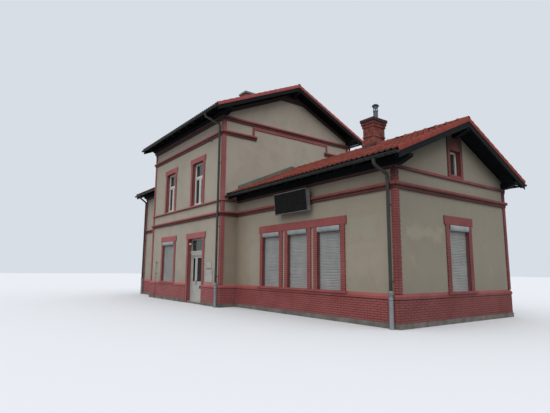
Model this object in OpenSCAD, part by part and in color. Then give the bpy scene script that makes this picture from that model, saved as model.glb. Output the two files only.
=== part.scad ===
// Rural railway station: a two-storey main block between two gabled wings.
// Millimetres. X runs along the street front, Y into the building, Z up.
// The origin is at ground level, midway between the end gables and under the ridges.

/* [Plan] */
// Length of the main block along the street
main_len = 8300; // [7800:50:9500]
// Depth of the main block
main_depth = 8000; // [7600:50:9000]
// Length of the near wing, right of the main block
right_len = 8800; // [8200:50:10000]
// Length of the far wing, left of the main block
left_len = 3600; // [3000:50:5000]
// Depth of both wings
wing_depth = 6400; // [6000:50:6800]
// Thickness of the outer brick walls
wall_t = 450; // [380:10:510]

/* [Storeys] */
// Level of the ground floor inside
floor_z = 60; // [40:5:100]
// Top of the main block's walls, under the eaves purlin
main_top = 8660; // [8600:10:9200]
// Top of the near wing's walls
right_top = 4690; // [4650:10:5000]
// Top of the far wing's walls
left_top = 6360; // [6000:10:6500]
// Surface of the main block's upper floor
upper_floor_z = 3980; // [3900:10:4100]
// Surface of the attic floors over the wings
attic_floor_z = 4200; // [4150:10:4300]
// Thickness of the timber floors
floor_t = 240; // [180:10:300]

/* [Bands] */
// Height of the concrete base
base_h = 150; // [100:10:250]
// Projection of the concrete base
base_out = 60; // [50:5:90]
// Underside of the plinth's cap course
cap_z = 810; // [700:10:900]
// Top of the plinth's cap course
plinth_top = 970; // [930:10:1050]
// Projection of the brick plinth
plinth_out = 40; // [20:5:45]
// Underside and top of the main cornice
cornice_z = 3990; // [3900:10:4050]
// Height of one corbelled course of a cornice
course_h = 100; // [80:5:110]
// Projection of one corbelled course of a cornice
course_out = 50; // [30:5:60]
// Underside of the upper-floor string course
string_z = 4650; // [4630:10:4660]
// Height of the string courses
string_h = 90; // [60:5:100]
// Projection of the string courses
string_out = 60; // [30:5:80]
// Underside of the street cornice near the eaves
upper_cornice_z = 7740; // [7700:10:7800]
// Underside of the gable cornice
gable_cornice_z = 8430; // [8400:10:8450]
// Extra depth of the gable cornice between its strips
gable_drop = 150; // [100:10:200]
// Distance from the ridge line to the middle of a gable strip
strip_y = 2380; // [2000:10:2600]
// Width of a gable strip
strip_w = 110; // [80:10:160]
// Projection of strips, surrounds and pilasters
trim_out = 30; // [20:2:34]
// Vertical depth of the band under the main verges
rake_h = 210; // [120:10:260]
// Height below the ridge soffit where the gable field is cut off level
field_cut = 520; // [400:10:700]
// Width of the main block's corner pilasters on the street and rear fronts
main_pilaster_w = 140; // [140:10:400]
// Width of the wings' corner pilasters on the street and rear fronts
wing_pilaster_w = 140; // [100:10:145]
// Width of all corner pilasters on the gable sides
pilaster_return = 120; // [80:10:160]

/* [Openings] */
// Top of the ground-floor openings
head_z = 3110; // [3000:10:3200]
// Height of the surround's head over an opening
head_h = 280; // [200:10:300]
// Width of a surround's jamb
jamb_w = 200; // [150:5:220]
// How far the head runs past the jambs
ear_w = 80; // [40:5:100]
// Height of the window sills
sill_h = 70; // [50:5:90]
// Projection of the window sills
sill_out = 100; // [90:5:130]
// Distance from the main block's near corner to the middle of the door bay
door_bay = 2530; // [2400:10:2800]
// Distance between the two bays of the main block
bay_pitch = 3340; // [3000:10:3600]
// Width of the entrance and of the window beside it
door_w = 1530; // [1400:10:1700]
// Width of the other windows
window_w = 1120; // [1000:10:1250]
// Distance from the near gable to the middle of the triple window
triple_x = 4470; // [4300:10:4800]
// Plain strip between two surrounds of the triple window
triple_gap = 140; // [80:10:200]
// Sill level of the upper windows
upper_sill_z = 4780; // [4750:10:4900]
// Top of the upper windows
upper_head_z = 6920; // [6800:10:7000]
// Height of the head over an upper window
upper_head_h = 260; // [200:10:300]
// Width of the attic window in a wing's gable
attic_w = 610; // [500:10:700]
// Sill level of the attic window
attic_sill_z = 4800; // [4780:10:4900]
// Top of the attic window
attic_head_z = 5660; // [5500:10:5700]
// Width of the attic window's jamb
attic_jamb_w = 145; // [100:5:180]

/* [Windows] */
// Depth from the wall face to a window frame
frame_inset = 130; // [100:5:160]
// Depth of window and door frames
frame_d = 80; // [60:5:100]
// Face width of a window frame's members
frame_w = 60; // [45:5:80]
// Level of the transom bar's middle in the upper windows
transom_z = 6170; // [6000:10:6300]
// Width of the upper windows' middle post, under the transom
mullion_w = 90; // [60:5:110]
// Thickness of the glass
glass_t = 8; // [6:1:12]
// Depth from the wall face to a roller shutter
shutter_inset = 70; // [60:5:100]
// Thickness of a shutter's curtain
curtain_t = 14; // [10:1:20]
// Height of a shutter's box
box_h = 190; // [150:5:220]
// Depth of a shutter's box
box_d = 200; // [160:10:240]
// How far a shutter's box stands out from the wall face
box_out = 60; // [0:5:75]
// Face width of a shutter's guide rail
guide_w = 45; // [30:5:60]
// Depth of a shutter's guide rail
guide_d = 40; // [30:5:60]

/* [Entrance] */
// Depth from the wall face to the door frame
door_inset = 160; // [130:5:200]
// Face width of the door frame's posts
door_post_w = 65; // [50:5:90]
// Underside of the moulded bar over the leaves
bar_z = 2270; // [2200:10:2350]
// Height of the moulded bar
bar_h = 240; // [150:10:260]
// Height of the threshold
threshold_h = 20; // [15:1:30]
// Thickness of a door leaf
leaf_t = 45; // [40:1:60]
// Width of the narrow leaf
narrow_w = 440; // [380:10:500]
// Running gap round a leaf
leaf_gap = 11; // [10:0.5:13]
// Radius of a door hinge's knuckles
knuckle_r = 9; // [8:0.5:10]
// Height of one knuckle
knuckle_h = 55; // [40:5:80]
// Radius of a hinge's pin
pin_r = 4.5; // [4:0.1:5.5]
// Width of a leaf's stiles
stile_w = 110; // [80:5:130]
// Height of a leaf's top rail
top_rail_h = 85; // [60:5:120]
// Level of the glass's lower edge
leaf_glass_z = 1040; // [900:10:1200]
// Depth of the recess in a leaf's lower panel
panel_recess = 12; // [6:1:16]
// Level of the door handle
handle_z = 1030; // [950:10:1100]
// Full opening of both leaves, in degrees
leaf_swing = 90; // [60:5:95]

/* [Roof] */
// Pitch of the roofs, in degrees
pitch = 24; // [22:0.5:26]
// Overhang of the main roof's rafters past the street wall
main_eave = 640; // [500:10:750]
// Overhang of the wing roofs' rafters past the street wall
wing_eave = 540; // [400:10:600]
// Overhang of the verges past the gable walls
gable_out = 600; // [450:10:700]
// Width of a purlin
purlin_w = 200; // [160:10:240]
// Height of a purlin
purlin_h = 240; // [200:10:260]
// How far an eaves purlin stands out from the wall face
purlin_out = 60; // [40:5:90]
// Vertical depth of rafters and boarding
deck_h = 200; // [160:10:240]
// Vertical depth of the tile layer
tile_h = 115; // [90:5:130]
// How far the tiles run past the rafter ends
tile_out = 55; // [30:5:70]
// Visible length of one course of tiles, measured down the slope
tile_course = 345; // [300:5:380]
// Height of a course's front edge over the course below
tile_step = 30; // [15:1:40]
// Thickness of the verge tiles' side flange
flange_t = 20; // [15:1:30]
// Depth of the verge tiles' side flange below the tile layer
flange_drop = 35; // [20:5:60]
// Thickness of the verge boards
verge_t = 30; // [20:1:40]
// Vertical depth of the verge boards
verge_h = 225; // [200:5:260]
// Radius of the ridge tiles
ridge_r = 125; // [100:5:150]
// Height of the ridge tiles' crown over the tile layer
ridge_rise = 55; // [40:5:80]
// Thickness of the sheet-metal flashings
flashing_t = 12; // [8:1:20]
// Height and width of the flashings at a wall
flashing_w = 160; // [120:10:200]

/* [Rainwater] */
// Radius of the half-round gutters
gutter_r = 75; // [65:1:85]
// Thickness of the gutters' sheet
gutter_t = 5; // [4:0.5:8]
// Drop of the gutter's rim below the tiles' underside
gutter_drop = 30; // [28:1:45]
// Radius of the downpipes
pipe_r = 50; // [40:1:55]
// Distance of a downpipe's axis from the wall face
pipe_off = 155; // [150:5:180]
// Length of the outlet below a gutter
outlet_h = 75; // [65:5:120]
// Bend radius of the swan neck
bend_r = 110; // [80:5:140]
// Angle of the swan neck, in degrees
bend_a = 60; // [50:1:65]
// Height of the sockets between two lengths of downpipe
socket_h = 40; // [30:2:60]
// Thickness of the sockets
socket_t = 4; // [3:0.5:6]
// Radius of the cast standpipes
stand_r = 68; // [60:1:80]
// Height of the cast standpipes
stand_h = 1050; // [900:10:1200]
// Distance from the near wing's corner to its downpipe
right_pipe_x = 160; // [160:10:260]
// Distance from the same corner to the outlet of its gutter
right_outlet_x = 260; // [200:10:400]
// Distance from the main block's near corner to its downpipe
main_pipe_x = 120; // [80:10:120]
// Distance from the same corner to the outlet of its gutter
main_outlet_x = 510; // [300:10:600]
// Distance from the far wing's corner to its downpipe
left_pipe_x = 200; // [160:10:260]
// Distance from the same corner to the outlet of its gutter
left_outlet_x = 310; // [200:10:400]
// Level of the lowest strap of each downpipe
strap_z = 1300; // [1150:10:1600]
// Distance from that strap up to the next one
strap_pitch = 2200; // [1800:10:2300]
// Level of the main downpipes' highest strap
main_strap_z = 6400; // [5500:10:6800]
// Level of the far wing's highest strap
left_strap_z = 5200; // [4800:10:5600]
// Height of a strap
strap_h = 30; // [20:1:50]
// Width of a strap's bar to the wall
strap_w = 24; // [15:1:40]

/* [Chimneys] */
// Distance from the near gable to the wing chimney's middle
stack_x = 3560; // [3200:10:4000]
// Distance of the wing chimney's middle behind the ridge
stack_y = 130; // [0:10:250]
// Length of the wing chimney along the ridge
stack_l = 540; // [450:10:650]
// Depth of the wing chimney
stack_d = 700; // [600:10:800]
// Height of the wing chimney above the tiled ridge
stack_top = 1085; // [900:5:1300]
// Height of one corbelled step of its head
corbel_h = 120; // [90:5:130]
// Projection of one corbelled step
corbel_out = 30; // [20:2:40]
// Height of the band round its foot above the tiled ridge
foot_z = 225; // [200:5:300]
// Distance of the flue from the chimney's middle towards the near gable
flue_x = 40; // [0:5:60]
// Distance of the flue from the chimney's middle towards the rear
flue_y = 100; // [0:5:120]
// Radius of the metal flue
flue_r = 95; // [70:5:100]
// Height of the flue above the chimney
flue_h = 440; // [350:10:500]
// Radius of the flue's rain cap
hat_r = 145; // [120:5:170]
// Height of the rain cap above the flue's mouth
hat_gap = 180; // [120:10:220]
// Distance from the main block's near corner to its chimney's middle
main_stack_x = 4400; // [4000:10:4800]
// Side length of the main chimney
main_stack_w = 620; // [550:10:800]
// Height of the main chimney above the tiled ridge
main_stack_top = 1210; // [1000:10:1500]
// Thickness of the main chimney's cover slab
slab_t = 110; // [80:10:160]
// Projection of the cover slab
slab_out = 70; // [50:5:100]

/* [Fittings] */
// Distance from the near gable to the sign's middle
sign_x = 4545; // [4400:5:4700]
// Length of the sign box
sign_l = 1930; // [1700:10:2100]
// Height of the sign box
sign_h = 810; // [700:10:850]
// Depth of the sign box
sign_d = 150; // [120:5:180]
// Underside of the sign box
sign_z = 3720; // [3700:5:3800]
// Distance from the wall face to the sign's lower back edge
sign_off = 125; // [110:5:160]
// Forward lean of the sign, in degrees
sign_lean = 6; // [3:0.5:8]
// Thickness of the notice boards
board_t = 25; // [15:1:40]
// Distance from the main block's near corner to the middle of the notice boards
board_x = 1040; // [950:5:1100]
// Width of the upper notice board
upper_board_w = 470; // [400:10:600]
// Lower edge of the upper notice board
upper_board_z = 1680; // [1660:10:1800]
// Height of the upper notice board
upper_board_h = 300; // [200:10:400]
// Width of the lower notice board
lower_board_w = 650; // [500:10:700]
// Lower edge of the lower notice board
lower_board_z = 1030; // [980:10:1050]
// Height of the lower notice board
lower_board_h = 600; // [500:10:600]

// Depth of the door lamp's bracket below the top of the doorway
lamp_drop = 240; // [150:10:400]
// Distance from the main block's near corner to the wall insulator
insulator_x = 1100; // [900:10:1300]
// Reach of the wall insulator's arm
insulator_out = 260; // [200:10:320]
// Distance from the main block's far corner to the lightning conductor
conductor_x = 890; // [600:10:1000]
// Height of the lightning conductor
conductor_h = 2050; // [1800:10:2400]

/* [Hidden] */
eps = 1;
$fn = 48;
slope = tan(pitch);
total_len = left_len + main_len + right_len;
x_right = total_len / 2;
x_mr = x_right - right_len;
x_ml = x_mr - main_len;
x_left = x_ml - left_len;
y_main = main_depth / 2;
y_wing = wing_depth / 2;
x_door = x_mr - door_bay;
x_bay = x_door - bay_pitch;
x_triple = x_right - triple_x;
triple_pitch = window_w + 2 * jamb_w + triple_gap;
purlin_seat = purlin_h + purlin_out * slope;
deck_end = gable_out - flange_t - verge_t;
sill_z = plinth_top;
cornice_top = cornice_z + 2 * course_h;
upper_cornice_top = upper_cornice_z + 2 * course_h;
strip_in = strip_y - strip_w / 2;
mitre = 2;
bed = 0.2;

// Sloping layers lie on each other with the fine gap bed, so that rounding never makes them overlap

// Height of the rafters' underside over a roof's walls, at a distance from the ridge line
function under(half, top, y) = top + purlin_seat + (half - abs(y)) * slope;
function tile_top(half, top, y) = under(half, top, y) + deck_h + tile_h;

// Shared shapes

module block(x0, x1, y0, y1, z0, z1) {
    translate([x0, y0, z0]) cube([x1 - x0, y1 - y0, z1 - z0]);
}

// A profile drawn in Y and Z, extruded along X from x0 to x1
module along_x(x0, x1) {
    translate([x0, 0, 0]) rotate([90, 0, 90]) linear_extrude(x1 - x0) children();
}

module both_sides() {
    children();
    mirror([0, 1, 0]) children();
}

// Children drawn on the plane Y = 0, facing -Y, are set on a wall face
module on_front(x, half) { translate([x, -half, 0]) children(); }
module on_right(y) { translate([x_right, y, 0]) rotate([0, 0, 90]) children(); }
module on_left(y) { translate([x_left, y, 0]) rotate([0, 0, -90]) children(); }

module plan_main(g) { translate([x_ml - g, -y_main - g]) square([main_len + 2 * g, main_depth + 2 * g]); }
module plan_right(g) { translate([x_mr, -y_wing - g]) square([right_len + g, wing_depth + 2 * g]); }
module plan_left(g) { translate([x_left - g, -y_wing - g]) square([left_len + g, wing_depth + 2 * g]); }
module plan_all(g) { plan_main(g); plan_right(g); plan_left(g); }

// A band of brickwork that runs round the whole building
module ring_all(z0, z1, out) {
    translate([0, 0, z0]) linear_extrude(z1 - z0) difference() { plan_all(out); plan_all(0); }
}

// A band that runs round the main block only
module ring_main(z0, z1, out) {
    translate([0, 0, z0]) linear_extrude(z1 - z0) difference() { plan_main(out); plan_main(0); }
}

// The two doorways with their surrounds, as a cutter for the bands that stop there
module door_gap() {
    half_w = door_w / 2 + jamb_w;
    both_sides() block(x_door - half_w, x_door + half_w, -y_main - wall_t, -y_main, -eps, head_z);
}

// The space that a wing's roof and flashing take up, as a cutter for the main block's trims
module roof_space(x0, x1, half, top) {
    reach = half + wing_eave + tile_out;
    lift = flashing_w + 2 * bed;
    along_x(x0, x1) polygon([
        [-reach, under(half, top, reach)],
        [reach, under(half, top, reach)],
        [reach, tile_top(half, top, reach) + lift],
        [0, tile_top(half, top, 0) + lift],
        [-reach, tile_top(half, top, reach) + lift]
    ]);
}

module wing_roof_spaces() {
    roof_space(x_mr - eps, x_mr + gable_out, y_wing, right_top);
    roof_space(x_ml - gable_out, x_ml + eps, y_wing, left_top);
}

// Floors

module ground_floors() {
    color("dimgray") {
        block(x_ml + wall_t, x_mr - wall_t, -y_main + wall_t, y_main - wall_t, 0, floor_z);
        block(x_mr, x_right - wall_t, -y_wing + wall_t, y_wing - wall_t, 0, floor_z);
        block(x_left + wall_t, x_ml, -y_wing + wall_t, y_wing - wall_t, 0, floor_z);
        both_sides() block(x_door - door_w / 2, x_door + door_w / 2, -y_main, -y_main + wall_t, 0, floor_z);
    }
}

module upper_floors() {
    color("burlywood") {
        block(x_ml + wall_t, x_mr - wall_t, -y_main + wall_t, y_main - wall_t,
              upper_floor_z - floor_t, upper_floor_z);
        block(x_mr, x_right - wall_t, -y_wing + wall_t, y_wing - wall_t,
              attic_floor_z - floor_t, attic_floor_z);
        block(x_left + wall_t, x_ml, -y_wing + wall_t, y_wing - wall_t,
              attic_floor_z - floor_t, attic_floor_z);
    }
}

// Walls

// The street wall below a window, drawn on the wall face
module apron(w) { block(-w / 2, w / 2, 0, wall_t, 0, sill_z); }

module window_aprons() {
    color("tan") at_shutters() { apron(door_w); apron(window_w); }
}

module cut_front(x, w, half, z0, z1) {
    block(x - w / 2, x + w / 2, -half - eps, -half + wall_t + eps, z0, z1);
}

// The street wall of the main block; its back wall is the same wall mirrored
module main_long_wall() {
    difference() {
        block(x_ml, x_mr, -y_main, -y_main + wall_t, 0, main_top);
        for (x = [x_door, x_bay]) {
            cut_front(x, door_w, y_main, -eps, head_z);
            cut_front(x, window_w, y_main, upper_sill_z, upper_head_z);
        }
    }
}

module main_front_part(z0, z1) {
    color("tan") intersection() {
        main_long_wall();
        block(x_ml, x_mr, -y_main, -y_main + wall_t, z0, z1);
    }
}

module main_front_wall_sides() { main_front_part(0, head_z); }
module main_front_wall_over() { main_front_part(head_z, main_top); }
module main_back_wall() { color("tan") mirror([0, 1, 0]) main_long_wall(); }

// A gable wall fitted between the long walls and under the rafters, with pockets for the purlins
module gable_wall(x0, half, top, z0) {
    along_x(x0, x0 + wall_t) difference() {
        polygon([
            [-half + wall_t, z0], [half - wall_t, z0], [half - wall_t, top], [half, top],
            [half, under(half, top, half)], [0, under(half, top, 0)], [-half, under(half, top, half)],
            [-half, top], [-half + wall_t, top]
        ]);
        purlin_sections(half, top, purlin_h);
    }
}

// The ridge purlin is bevelled to both slopes; as a cutter it reaches over them
module purlin_sections(half, top, over = 0) {
    for (side = [-1, 1]) {
        y = side * (half + purlin_out - purlin_w / 2);
        translate([y - purlin_w / 2, top]) square([purlin_w, purlin_h]);
    }
    shoulder = under(half, top, purlin_w / 2);
    polygon([
        [-purlin_w / 2, shoulder - purlin_h], [purlin_w / 2, shoulder - purlin_h],
        [purlin_w / 2, shoulder + over], [0, under(half, top, 0) + over], [-purlin_w / 2, shoulder + over]
    ]);
}

module main_gable_walls() {
    color("tan") {
        gable_wall(x_mr - wall_t, y_main, main_top, 0);
        gable_wall(x_ml, y_main, main_top, 0);
    }
}

module wing_front_walls() {
    color("tan") {
        difference() {
            block(x_mr, x_right, -y_wing, -y_wing + wall_t, 0, right_top);
            for (k = [-1, 0, 1]) cut_front(x_triple + k * triple_pitch, window_w, y_wing, -eps, head_z);
        }
        block(x_left, x_ml, -y_wing, -y_wing + wall_t, 0, left_top);
    }
}

module wing_back_walls() {
    color("tan") mirror([0, 1, 0]) wing_front_walls();
}

module cut_gable(x0, w, z0, z1) {
    block(x0 - eps, x0 + wall_t + eps, -w / 2, w / 2, z0, z1);
}

module wing_gable_part(z0, z1) {
    color("tan") intersection() {
        union() {
            difference() {
                gable_wall(x_right - wall_t, y_wing, right_top, 0);
                cut_gable(x_right - wall_t, window_w, -eps, head_z);
                cut_gable(x_right - wall_t, attic_w, attic_sill_z, attic_head_z);
            }
            difference() {
                gable_wall(x_left, y_wing, left_top, 0);
                cut_gable(x_left, window_w, -eps, head_z);
                cut_gable(x_left, attic_w, attic_sill_z, attic_head_z);
            }
        }
        block(x_left, x_right, -y_wing, y_wing, z0, z1);
    }
}

module wing_gable_sides() { wing_gable_part(0, head_z); }
module wing_gable_tops() { wing_gable_part(head_z, left_top + y_wing); }

// Base, plinth and bands

module concrete_base() {
    color("darkgray") difference() {
        ring_all(0, base_h, base_out);
        door_gap();
    }
}

module brick_plinth() {
    color("indianred") difference() {
        ring_all(base_h, cap_z, plinth_out);
        door_gap();
    }
}

// The cap course: a level course with a splayed course on it
module splay(x0, x1, half, z0, z1, out0, out1) {
    hull() {
        block(x0 - out0, x1 + out0, -half - out0, half + out0, z0, z0 + eps);
        block(x0 - out1, x1 + out1, -half - out1, half + out1, z1 - eps, z1);
    }
}

module plinth_cap() {
    splay_z = (cap_z + plinth_top) / 2;
    color("palevioletred") difference() {
        union() {
            ring_all(cap_z, splay_z, base_out);
            splay(x_ml, x_mr, y_main, splay_z, plinth_top, base_out, 0);
            splay(x_ml, x_right, y_wing, splay_z, plinth_top, base_out, 0);
            splay(x_left, x_mr, y_wing, splay_z, plinth_top, base_out, 0);
        }
        translate([0, 0, cap_z - eps]) linear_extrude(plinth_top - cap_z + 2 * eps) plan_all(0);
        door_gap();
        all_sills();
    }
}

module main_cornice() {
    color("palevioletred") {
        ring_all(cornice_z, cornice_z + course_h, course_out);
        ring_all(cornice_z + course_h, cornice_z + 2 * course_h, 2 * course_out);
    }
}

module string_courses() {
    color("palevioletred") {
        difference() {
            ring_main(string_z, string_z + string_h, string_out);
            block(x_mr - eps, x_right, -y_wing - purlin_out, y_wing + purlin_out, 0, right_top + purlin_h);
            block(x_left, x_ml + eps, -y_wing, y_wing, 0, left_top);
            wing_roof_spaces();
        }
        translate([0, 0, right_top - string_h]) linear_extrude(string_h) difference() {
            plan_right(string_out);
            plan_right(0);
            plan_main(string_out);
        }
        translate([0, 0, left_top - string_h]) linear_extrude(string_h) difference() {
            plan_left(string_out);
            plan_left(0);
            plan_main(0);
        }
    }
}

// The cornice over the upper windows, returned on the gables a little past the strips
module street_cornice() {
    inner = strip_in - 2 * course_out;
    difference() {
        union() {
            ring_main(upper_cornice_z, upper_cornice_z + course_h, course_out);
            ring_main(upper_cornice_z + course_h, upper_cornice_top, 2 * course_out);
        }
        block(x_left, x_right, -inner, inner, upper_cornice_z - eps, upper_cornice_top + eps);
    }
}

module gable_strips() {
    for (x = [[x_ml - trim_out, x_ml], [x_mr, x_mr + trim_out]]) both_sides() {
        block(x[0], x[1], -strip_in - strip_w, -strip_in, upper_cornice_top, gable_cornice_z);
    }
}

module gable_cornice() {
    difference() {
        union() {
            ring_main(gable_cornice_z, gable_cornice_z + course_h, course_out);
            ring_main(gable_cornice_z + course_h, gable_cornice_z + 2 * course_h, 2 * course_out);
            block(x_ml - trim_out, x_ml, -strip_in, strip_in, gable_cornice_z - gable_drop, gable_cornice_z);
            block(x_mr, x_mr + trim_out, -strip_in, strip_in, gable_cornice_z - gable_drop, gable_cornice_z);
            gable_strips();
        }
        wing_roof_spaces();
    }
}

// The gable triangle under the soffit, less the plain field with its level top
module rake_band(x0) {
    foot_z = gable_cornice_z + 2 * course_h;
    cut_z = under(y_main, main_top, 0) - field_cut;
    reach = y_main - pilaster_return;
    cut_y = y_main - (cut_z + rake_h - under(y_main, main_top, y_main)) / slope;
    along_x(x0, x0 + trim_out) difference() {
        polygon([
            [-y_main, foot_z], [y_main, foot_z], [y_main, under(y_main, main_top, y_main)],
            [0, under(y_main, main_top, 0)], [-y_main, under(y_main, main_top, y_main)]
        ]);
        polygon([
            [-reach, foot_z - eps], [reach, foot_z - eps],
            [reach, under(y_main, main_top, reach) - rake_h], [cut_y, cut_z],
            [-cut_y, cut_z], [-reach, under(y_main, main_top, reach) - rake_h]
        ]);
        purlin_sections(y_main, main_top, purlin_h);
    }
}

module upper_cornices() {
    color("palevioletred") {
        street_cornice();
        gable_cornice();
        rake_band(x_mr);
        rake_band(x_ml - trim_out);
    }
}

// One corner pilaster, an angle round the corner of a block
module corner_angle(x, half, dir, w, z0, z1) {
    both_sides() translate([x, -half, z0]) mirror([dir < 0 ? 1 : 0, 0, 0]) {
        linear_extrude(z1 - z0) difference() {
            translate([-w, -trim_out]) square([w + trim_out, pilaster_return + trim_out]);
            translate([-w - eps, 0]) square([w + eps, pilaster_return + eps]);
        }
    }
}

module corner_pilasters() {
    main_steps = [
        [plinth_top, cornice_z], [cornice_top, string_z], [string_z + string_h, upper_cornice_z],
        [upper_cornice_top, gable_cornice_z]
    ];
    color("palevioletred") {
        for (s = main_steps) {
            corner_angle(x_mr, y_main, 1, main_pilaster_w, s[0], s[1]);
            corner_angle(x_ml, y_main, -1, main_pilaster_w, s[0], s[1]);
        }
        for (s = [[plinth_top, cornice_z], [cornice_top, right_top - string_h]]) {
            corner_angle(x_right, y_wing, 1, wing_pilaster_w, s[0], s[1]);
        }
        for (s = [[plinth_top, cornice_z], [cornice_top, left_top - string_h]]) {
            corner_angle(x_left, y_wing, -1, wing_pilaster_w, s[0], s[1]);
        }
    }
}

// Surrounds and sills, drawn on the wall face

module surround(w, z0, z1, jamb, head, ear, out) {
    for (side = [-1, 1]) {
        block(side * (w / 2 + jamb / 2) - jamb / 2, side * (w / 2 + jamb / 2) + jamb / 2, -out, 0, z0, z1);
    }
    block(-w / 2 - jamb - ear, w / 2 + jamb + ear, -out, 0, z1, z1 + head);
}

module triple_surround() {
    reach = triple_pitch + window_w / 2 + jamb_w + ear_w;
    for (k = [-1, 0, 1]) {
        translate([k * triple_pitch, 0, 0]) surround(window_w, sill_z, head_z, jamb_w, head_h, 0, trim_out);
    }
    block(-reach, reach, -trim_out, 0, head_z, head_z + head_h);
}

module ground_surrounds() {
    both_sides() {
        on_front(x_door, y_main) surround(door_w, 0, head_z, jamb_w, head_h, ear_w, trim_out);
        on_front(x_bay, y_main) surround(door_w, sill_z, head_z, jamb_w, head_h, ear_w, trim_out);
        on_front(x_triple, y_wing) triple_surround();
    }
    on_right(0) surround(window_w, sill_z, head_z, jamb_w, head_h, ear_w, trim_out);
    on_left(0) surround(window_w, sill_z, head_z, jamb_w, head_h, ear_w, trim_out);
}

module upper_surrounds() {
    both_sides() for (x = [x_door, x_bay]) on_front(x, y_main) {
        surround(window_w, string_z + string_h, upper_head_z, jamb_w, upper_head_h, ear_w, trim_out);
    }
    on_right(0) surround(attic_w, right_top, attic_head_z, attic_jamb_w, head_h, 0, trim_out);
    on_left(0) surround(attic_w, attic_sill_z, attic_head_z, attic_jamb_w, head_h, 0, trim_out);
}

module opening_surrounds() {
    color("palevioletred") {
        ground_surrounds();
        upper_surrounds();
    }
}

module sill(w) {
    block(-w / 2 - jamb_w - ear_w, w / 2 + jamb_w + ear_w, -sill_out, 0, sill_z - sill_h, sill_z);
}

module all_sills() {
    both_sides() {
        on_front(x_bay, y_main) sill(door_w);
        on_front(x_triple, y_wing) sill(window_w + 2 * triple_pitch);
    }
    on_right(0) sill(window_w);
    on_left(0) sill(window_w);
}

module window_sills() { color("palevioletred") all_sills(); }

// Roofs: each is drawn as its street slope and mirrored for the other

module slope_section(half, top, reach, lift, h) {
    upper = under(half, top, mitre / 2) + lift;
    lower = under(half, top, reach) + lift;
    polygon([[-mitre / 2, upper], [-reach, lower], [-reach, lower + h], [-mitre / 2, upper + h]]);
}

// The stepped surface of one slope's tiles in Y and Z, from the eaves up to the distance inner
function course_count(half, eave) = round((half + eave + tile_out) / cos(pitch) / tile_course);
function tile_line(half, top, eave, inner, over) = let (
    reach = half + eave + tile_out,
    n = course_count(half, eave)
) [
    for (c = [0 : n - 1], back = [0, 1])
        let (y = max(reach * (1 - (c + back) / n), inner))
        [-y, tile_top(half, top, y) - back * tile_step + over]
];

module deck_slopes() {
    h = deck_h - bed;
    along_x(x_ml - deck_end, x_mr + deck_end) slope_section(y_main, main_top, y_main + main_eave, bed, h);
    along_x(x_mr, x_right + deck_end) slope_section(y_wing, right_top, y_wing + wing_eave, bed, h);
    along_x(x_left - deck_end, x_ml) slope_section(y_wing, left_top, y_wing + wing_eave, bed, h);
}

// The two slopes of a roof stop a little short of each other, each in one piece
module roof_decks() { color("darkslategray") both_sides() deck_slopes(); }

// The tile layer of one slope: stepped above, plain below, cut off at the distance outer
module tile_section(half, top, eave, lift, outer) {
    reach = half + eave + tile_out;
    intersection() {
        polygon(concat(
            [[-mitre / 2, under(half, top, mitre / 2) + lift], [-reach, under(half, top, reach) + lift]],
            tile_line(half, top, eave, mitre / 2, 0)
        ));
        translate([-outer, 0]) square([outer, 2 * main_top]);
    }
}

// A tiled slope, with a flange over the verge board at each free end.
// The flange stops short of the gutter.
module tile_slope(x0, x1, half, top, eave, flanges) {
    along_x(x0, x1) tile_section(half, top, eave, deck_h + bed, half + eave + tile_out + eps);
    for (x = flanges) along_x(x, x + flange_t) {
        tile_section(half, top, eave, deck_h - flange_drop, half + eave - mitre);
    }
}

module tile_slopes() {
    tile_slope(x_ml - gable_out, x_mr + gable_out, y_main, main_top, main_eave,
               [x_ml - gable_out, x_mr + gable_out - flange_t]);
    tile_slope(x_mr, x_right + gable_out, y_wing, right_top, wing_eave, [x_right + gable_out - flange_t]);
    tile_slope(x_left - gable_out, x_ml, y_wing, left_top, wing_eave, [x_left - gable_out]);
}

module roof_tiles() { color("firebrick") both_sides() tile_slopes(); }

// The space under a tiled roof's surface, as a cutter for what stands on it
module below_tiles(x0, x1, half, top, eave) {
    both_sides() along_x(x0, x1) polygon(concat(
        [[eps, 0], [-half - eave - tile_out, 0]], tile_line(half, top, eave, -eps, bed)
    ));
}

// A run of ridge tiles, scribed to both slopes
module ridge_run(x0, x1, half, top, eave) {
    crown = tile_top(half, top, 0) + ridge_rise;
    difference() {
        translate([x0, 0, crown - ridge_r]) rotate([0, 90, 0]) cylinder(r = ridge_r, h = x1 - x0);
        below_tiles(x0 - eps, x1 + eps, half, top, eave);
    }
}

module ridge_tiles() {
    color("firebrick") {
        difference() {
            ridge_run(x_ml - gable_out, x_mr + gable_out, y_main, main_top, main_eave);
            main_stack_core();
        }
        difference() {
            ridge_run(x_mr + flashing_w, x_right + gable_out, y_wing, right_top, wing_eave);
            stack_step(corbel_out, right_top, wing_ridge_z + foot_z);
        }
        ridge_run(x_left - gable_out, x_ml - flashing_w, y_wing, left_top, wing_eave);
    }
}

// The two boards of a verge, which meet under the ridge
module verge_board(x0, half, top, eave) {
    both_sides() along_x(x0, x0 + verge_t) slope_section(half, top, half + eave, deck_h - verge_h, verge_h);
}

module verge_boards() {
    color("darkslategray") {
        verge_board(x_mr + deck_end, y_main, main_top, main_eave);
        verge_board(x_ml - deck_end - verge_t, y_main, main_top, main_eave);
        verge_board(x_right + deck_end, y_wing, right_top, wing_eave);
        verge_board(x_left - deck_end - verge_t, y_wing, left_top, wing_eave);
    }
}

module purlins() {
    color("saddlebrown") {
        along_x(x_ml - deck_end, x_mr + deck_end) purlin_sections(y_main, main_top);
        along_x(x_mr, x_right + deck_end) purlin_sections(y_wing, right_top);
        along_x(x_left - deck_end, x_ml) purlin_sections(y_wing, left_top);
    }
}

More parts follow.
